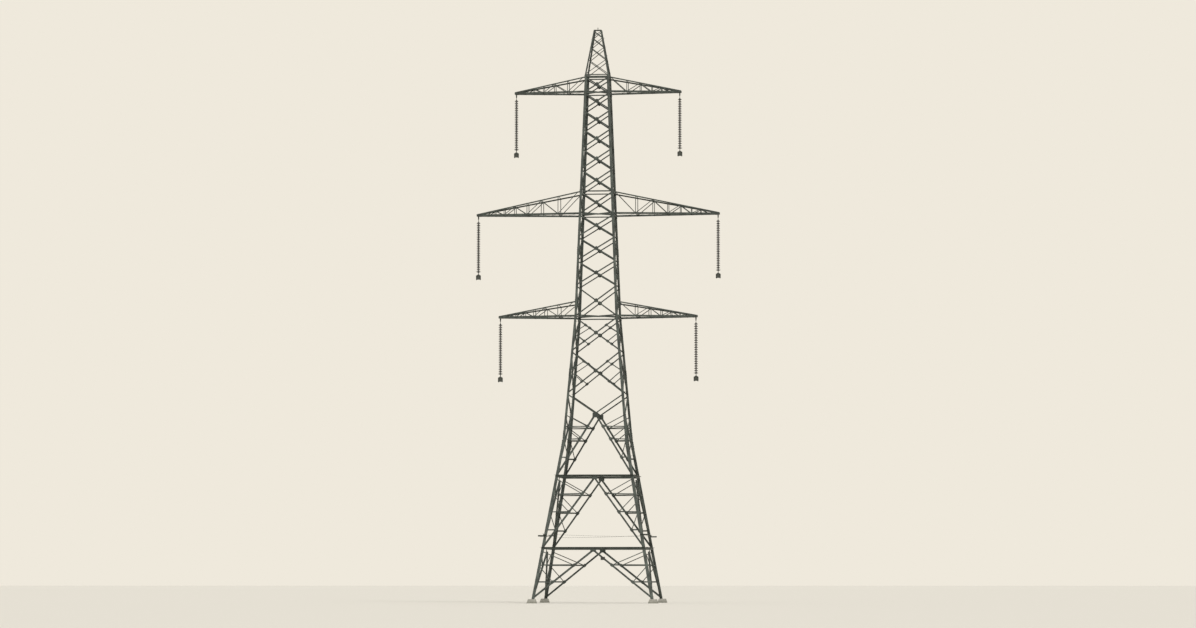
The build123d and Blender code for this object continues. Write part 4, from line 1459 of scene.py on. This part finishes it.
def barbed_wire():
    """Strands round the tower between the ends of the guard brackets."""
    near, far = guard_x + WIRE_INSET, guard_high.x - WIRE_END
    places, edges = [], []
    for matrix in TURNS:
        for row in range(WIRE_ROWS):
            reach = near + (far - near) * row / (WIRE_ROWS - 1)
            edges += [(k, k + 1) for k in range(len(places), len(places) + WIRE_POINTS - 1)]
            for k in range(WIRE_POINTS):
                t = k / (WIRE_POINTS - 1)
                z = guard_z + WIRE_RISE * (1 - 2 * t) - WIRE_SAG * 4 * t * (1 - t)
                places.append(matrix @ Vector((guard_x * (2 * t - 1), -reach, z)))
    barbs = {"Barb step": BARB_STEP, "Barb size": BARB_SIZE}
    sizes = {"Radius": WIRE_R, **barbs, "Material": FORGED}
    made = run_tree("barbed_wire", wire_tree(sizes), sizes, places, edges=edges)
    finish_piece(made, "tower", "forged_fittings")


barbed_wire()

trees = {}
for kind, unit, coat, slot in (
    ("skirts", string_unit("porcelain_unit", SKIRT, 16), PORCELAIN, "glazed_porcelain"),
    ("caps", string_unit("cap_unit", CAP, 10), FORGED, "forged_fittings"),
):
    sizes = {"Unit": unit, "Count": DISC_COUNT, "Step up": -DISC_PITCH, "Material": coat}
    trees[kind] = (string_tree(sizes), sizes, slot)

for level in ARM_LEVELS:
    for hand, side in (("left", -1), ("right", 1)):
        body = f"string_{level}_{hand}"
        x = side * (ARM_X[level] - HANGER_INSET)
        pin = Vector((x, 0, ARM_Z[level] - HANGER_DROP))
        for kind, (tree, sizes, slot) in trees.items():
            name = f"insulator_{kind}_{level}_{hand}"
            made = run_tree(name, tree, sizes, [pin - UP * LINK_DROP])
            finish_piece(made, body, slot, f"insulator_string_{level}_{hand}")
        made = mesh_piece(f"fittings_{level}_{hand}_forged", fittings(pin), FORGED)
        finish_piece(made, body, "forged_fittings", f"string_fittings_{level}_{hand}")


def bevelled_muffs():
    """Four tapered blocks with bevelled arrises."""
    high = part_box("concrete_muffs")[1]
    centre = high.x - MUFF_BASE / 2
    half_top = MUFF_TOP / 2
    levels = [(MUFF_BASE / 2, 0.0), (half_top, high.z - MUFF_ARRIS)]
    levels += [(half_top - MUFF_ARRIS, high.z)]
    work = Steelwork()
    for sx, sy in ((1, -1), (1, 1), (-1, 1), (-1, -1)):
        rims = []
        for half, z in levels:
            rim = square(half, MUFF_ARRIS)
            rims.append([Vector((sx * centre + x, sy * centre + y, z)) for x, y in rim])
        work.skin(rims)
    made = mesh_piece("concrete_muffs_cast", work, CONCRETE, sharp_deg=30)
    finish_piece(made, "tower", "concrete", "concrete_muffs")


bevelled_muffs()

for node, material in (
    ("fork_gussets", STEEL_WITH_PAINTED_SHADE),
    ("climbing_guard", STEEL_WITH_PAINTED_SHADE),
    ("number_plate", DARK_ENAMEL),
    ("earth_wire_clamp", FORGED),
):
    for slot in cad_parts[node].material_slots:
        slot.material = material


# Floor, light and camera

FLOOR_HALF = 600.0
CAMERA_DISTANCE = 160.0
CAMERA_TURN = math.radians(5.3)
EYE_HEIGHT = 0.9
LENS_MM = 116.0
SENSOR_MM = 36.0
FAR_CLIP = 2000.0


def studio():
    """Pale floor with the sky of a plain studio behind it."""
    floor = bpy.data.meshes.new("floor")
    corners = [(x * FLOOR_HALF, y * FLOOR_HALF, 0) for x, y in ((-1, -1), (1, -1), (1, 1), (-1, 1))]
    floor.from_pydata(corners, [], [(0, 1, 2, 3)])
    ground = linked("floor", floor)
    material, tree, shader = new_material("matt_pale_floor")
    feed(tree, shader, {"Base Color": linear("#d6d2c8"), "Roughness": 0.9})
    floor.materials.append(material)
    world = bpy.data.worlds.new("studio")
    bpy.context.scene.world = world
    world.use_nodes = True
    tree = world.node_tree
    sky = tree.nodes["Background"]
    feed(tree, sky, {"Color": linear("#f2f0ec"), "Strength": 0.75})
    seen = add_node(tree, "ShaderNodeBackground", {"Color": linear("#efe9dc"), "Strength": 1.0})
    path = add_node(tree, "ShaderNodeLightPath").outputs
    rays = {0: path["Is Camera Ray"], 1: path["Is Glossy Ray"]}
    either = add_node(tree, "ShaderNodeMath", rays, operation="MAXIMUM").outputs[0]
    skies = {0: either, 1: sky.outputs[0], 2: seen.outputs[0]}
    choice = add_node(tree, "ShaderNodeMixShader", skies).outputs[0]
    feed(tree, tree.nodes["World Output"], {"Surface": choice})


def lamp(name, strength, azimuth, height, spread_deg):
    """Sun lamp, turned about Z from the front by azimuth and raised by height, in degrees."""
    light = bpy.data.lights.new(name, "SUN")
    light.energy = strength
    light.angle = math.radians(spread_deg)
    made = linked(name, light)
    made.rotation_euler = (math.radians(90 - height), 0, math.radians(azimuth))


def set_camera():
    """From low on the ground far in front, a little to the right, looking up at the middle."""
    lens = bpy.data.cameras.new("camera")
    lens.sensor_width = SENSOR_MM
    lens.lens = LENS_MM
    lens.clip_end = FAR_CLIP
    camera = linked("camera", lens)
    x, y = CAMERA_DISTANCE * math.sin(CAMERA_TURN), -CAMERA_DISTANCE * math.cos(CAMERA_TURN)
    place = Vector((x, y, EYE_HEIGHT))
    aim = Vector((0, 0, (cad_bounds[0][2] + cad_bounds[1][2]) / 2))
    camera.location = place
    camera.rotation_euler = (aim - place).to_track_quat("-Z", "Y").to_euler()
    bpy.context.scene.camera = camera


studio()
lamp("key", strength=1.6, azimuth=35, height=50, spread_deg=20)
lamp("fill", strength=0.6, azimuth=-60, height=25, spread_deg=60)
set_camera()
bpy.context.scene.view_settings.view_transform = "Standard"
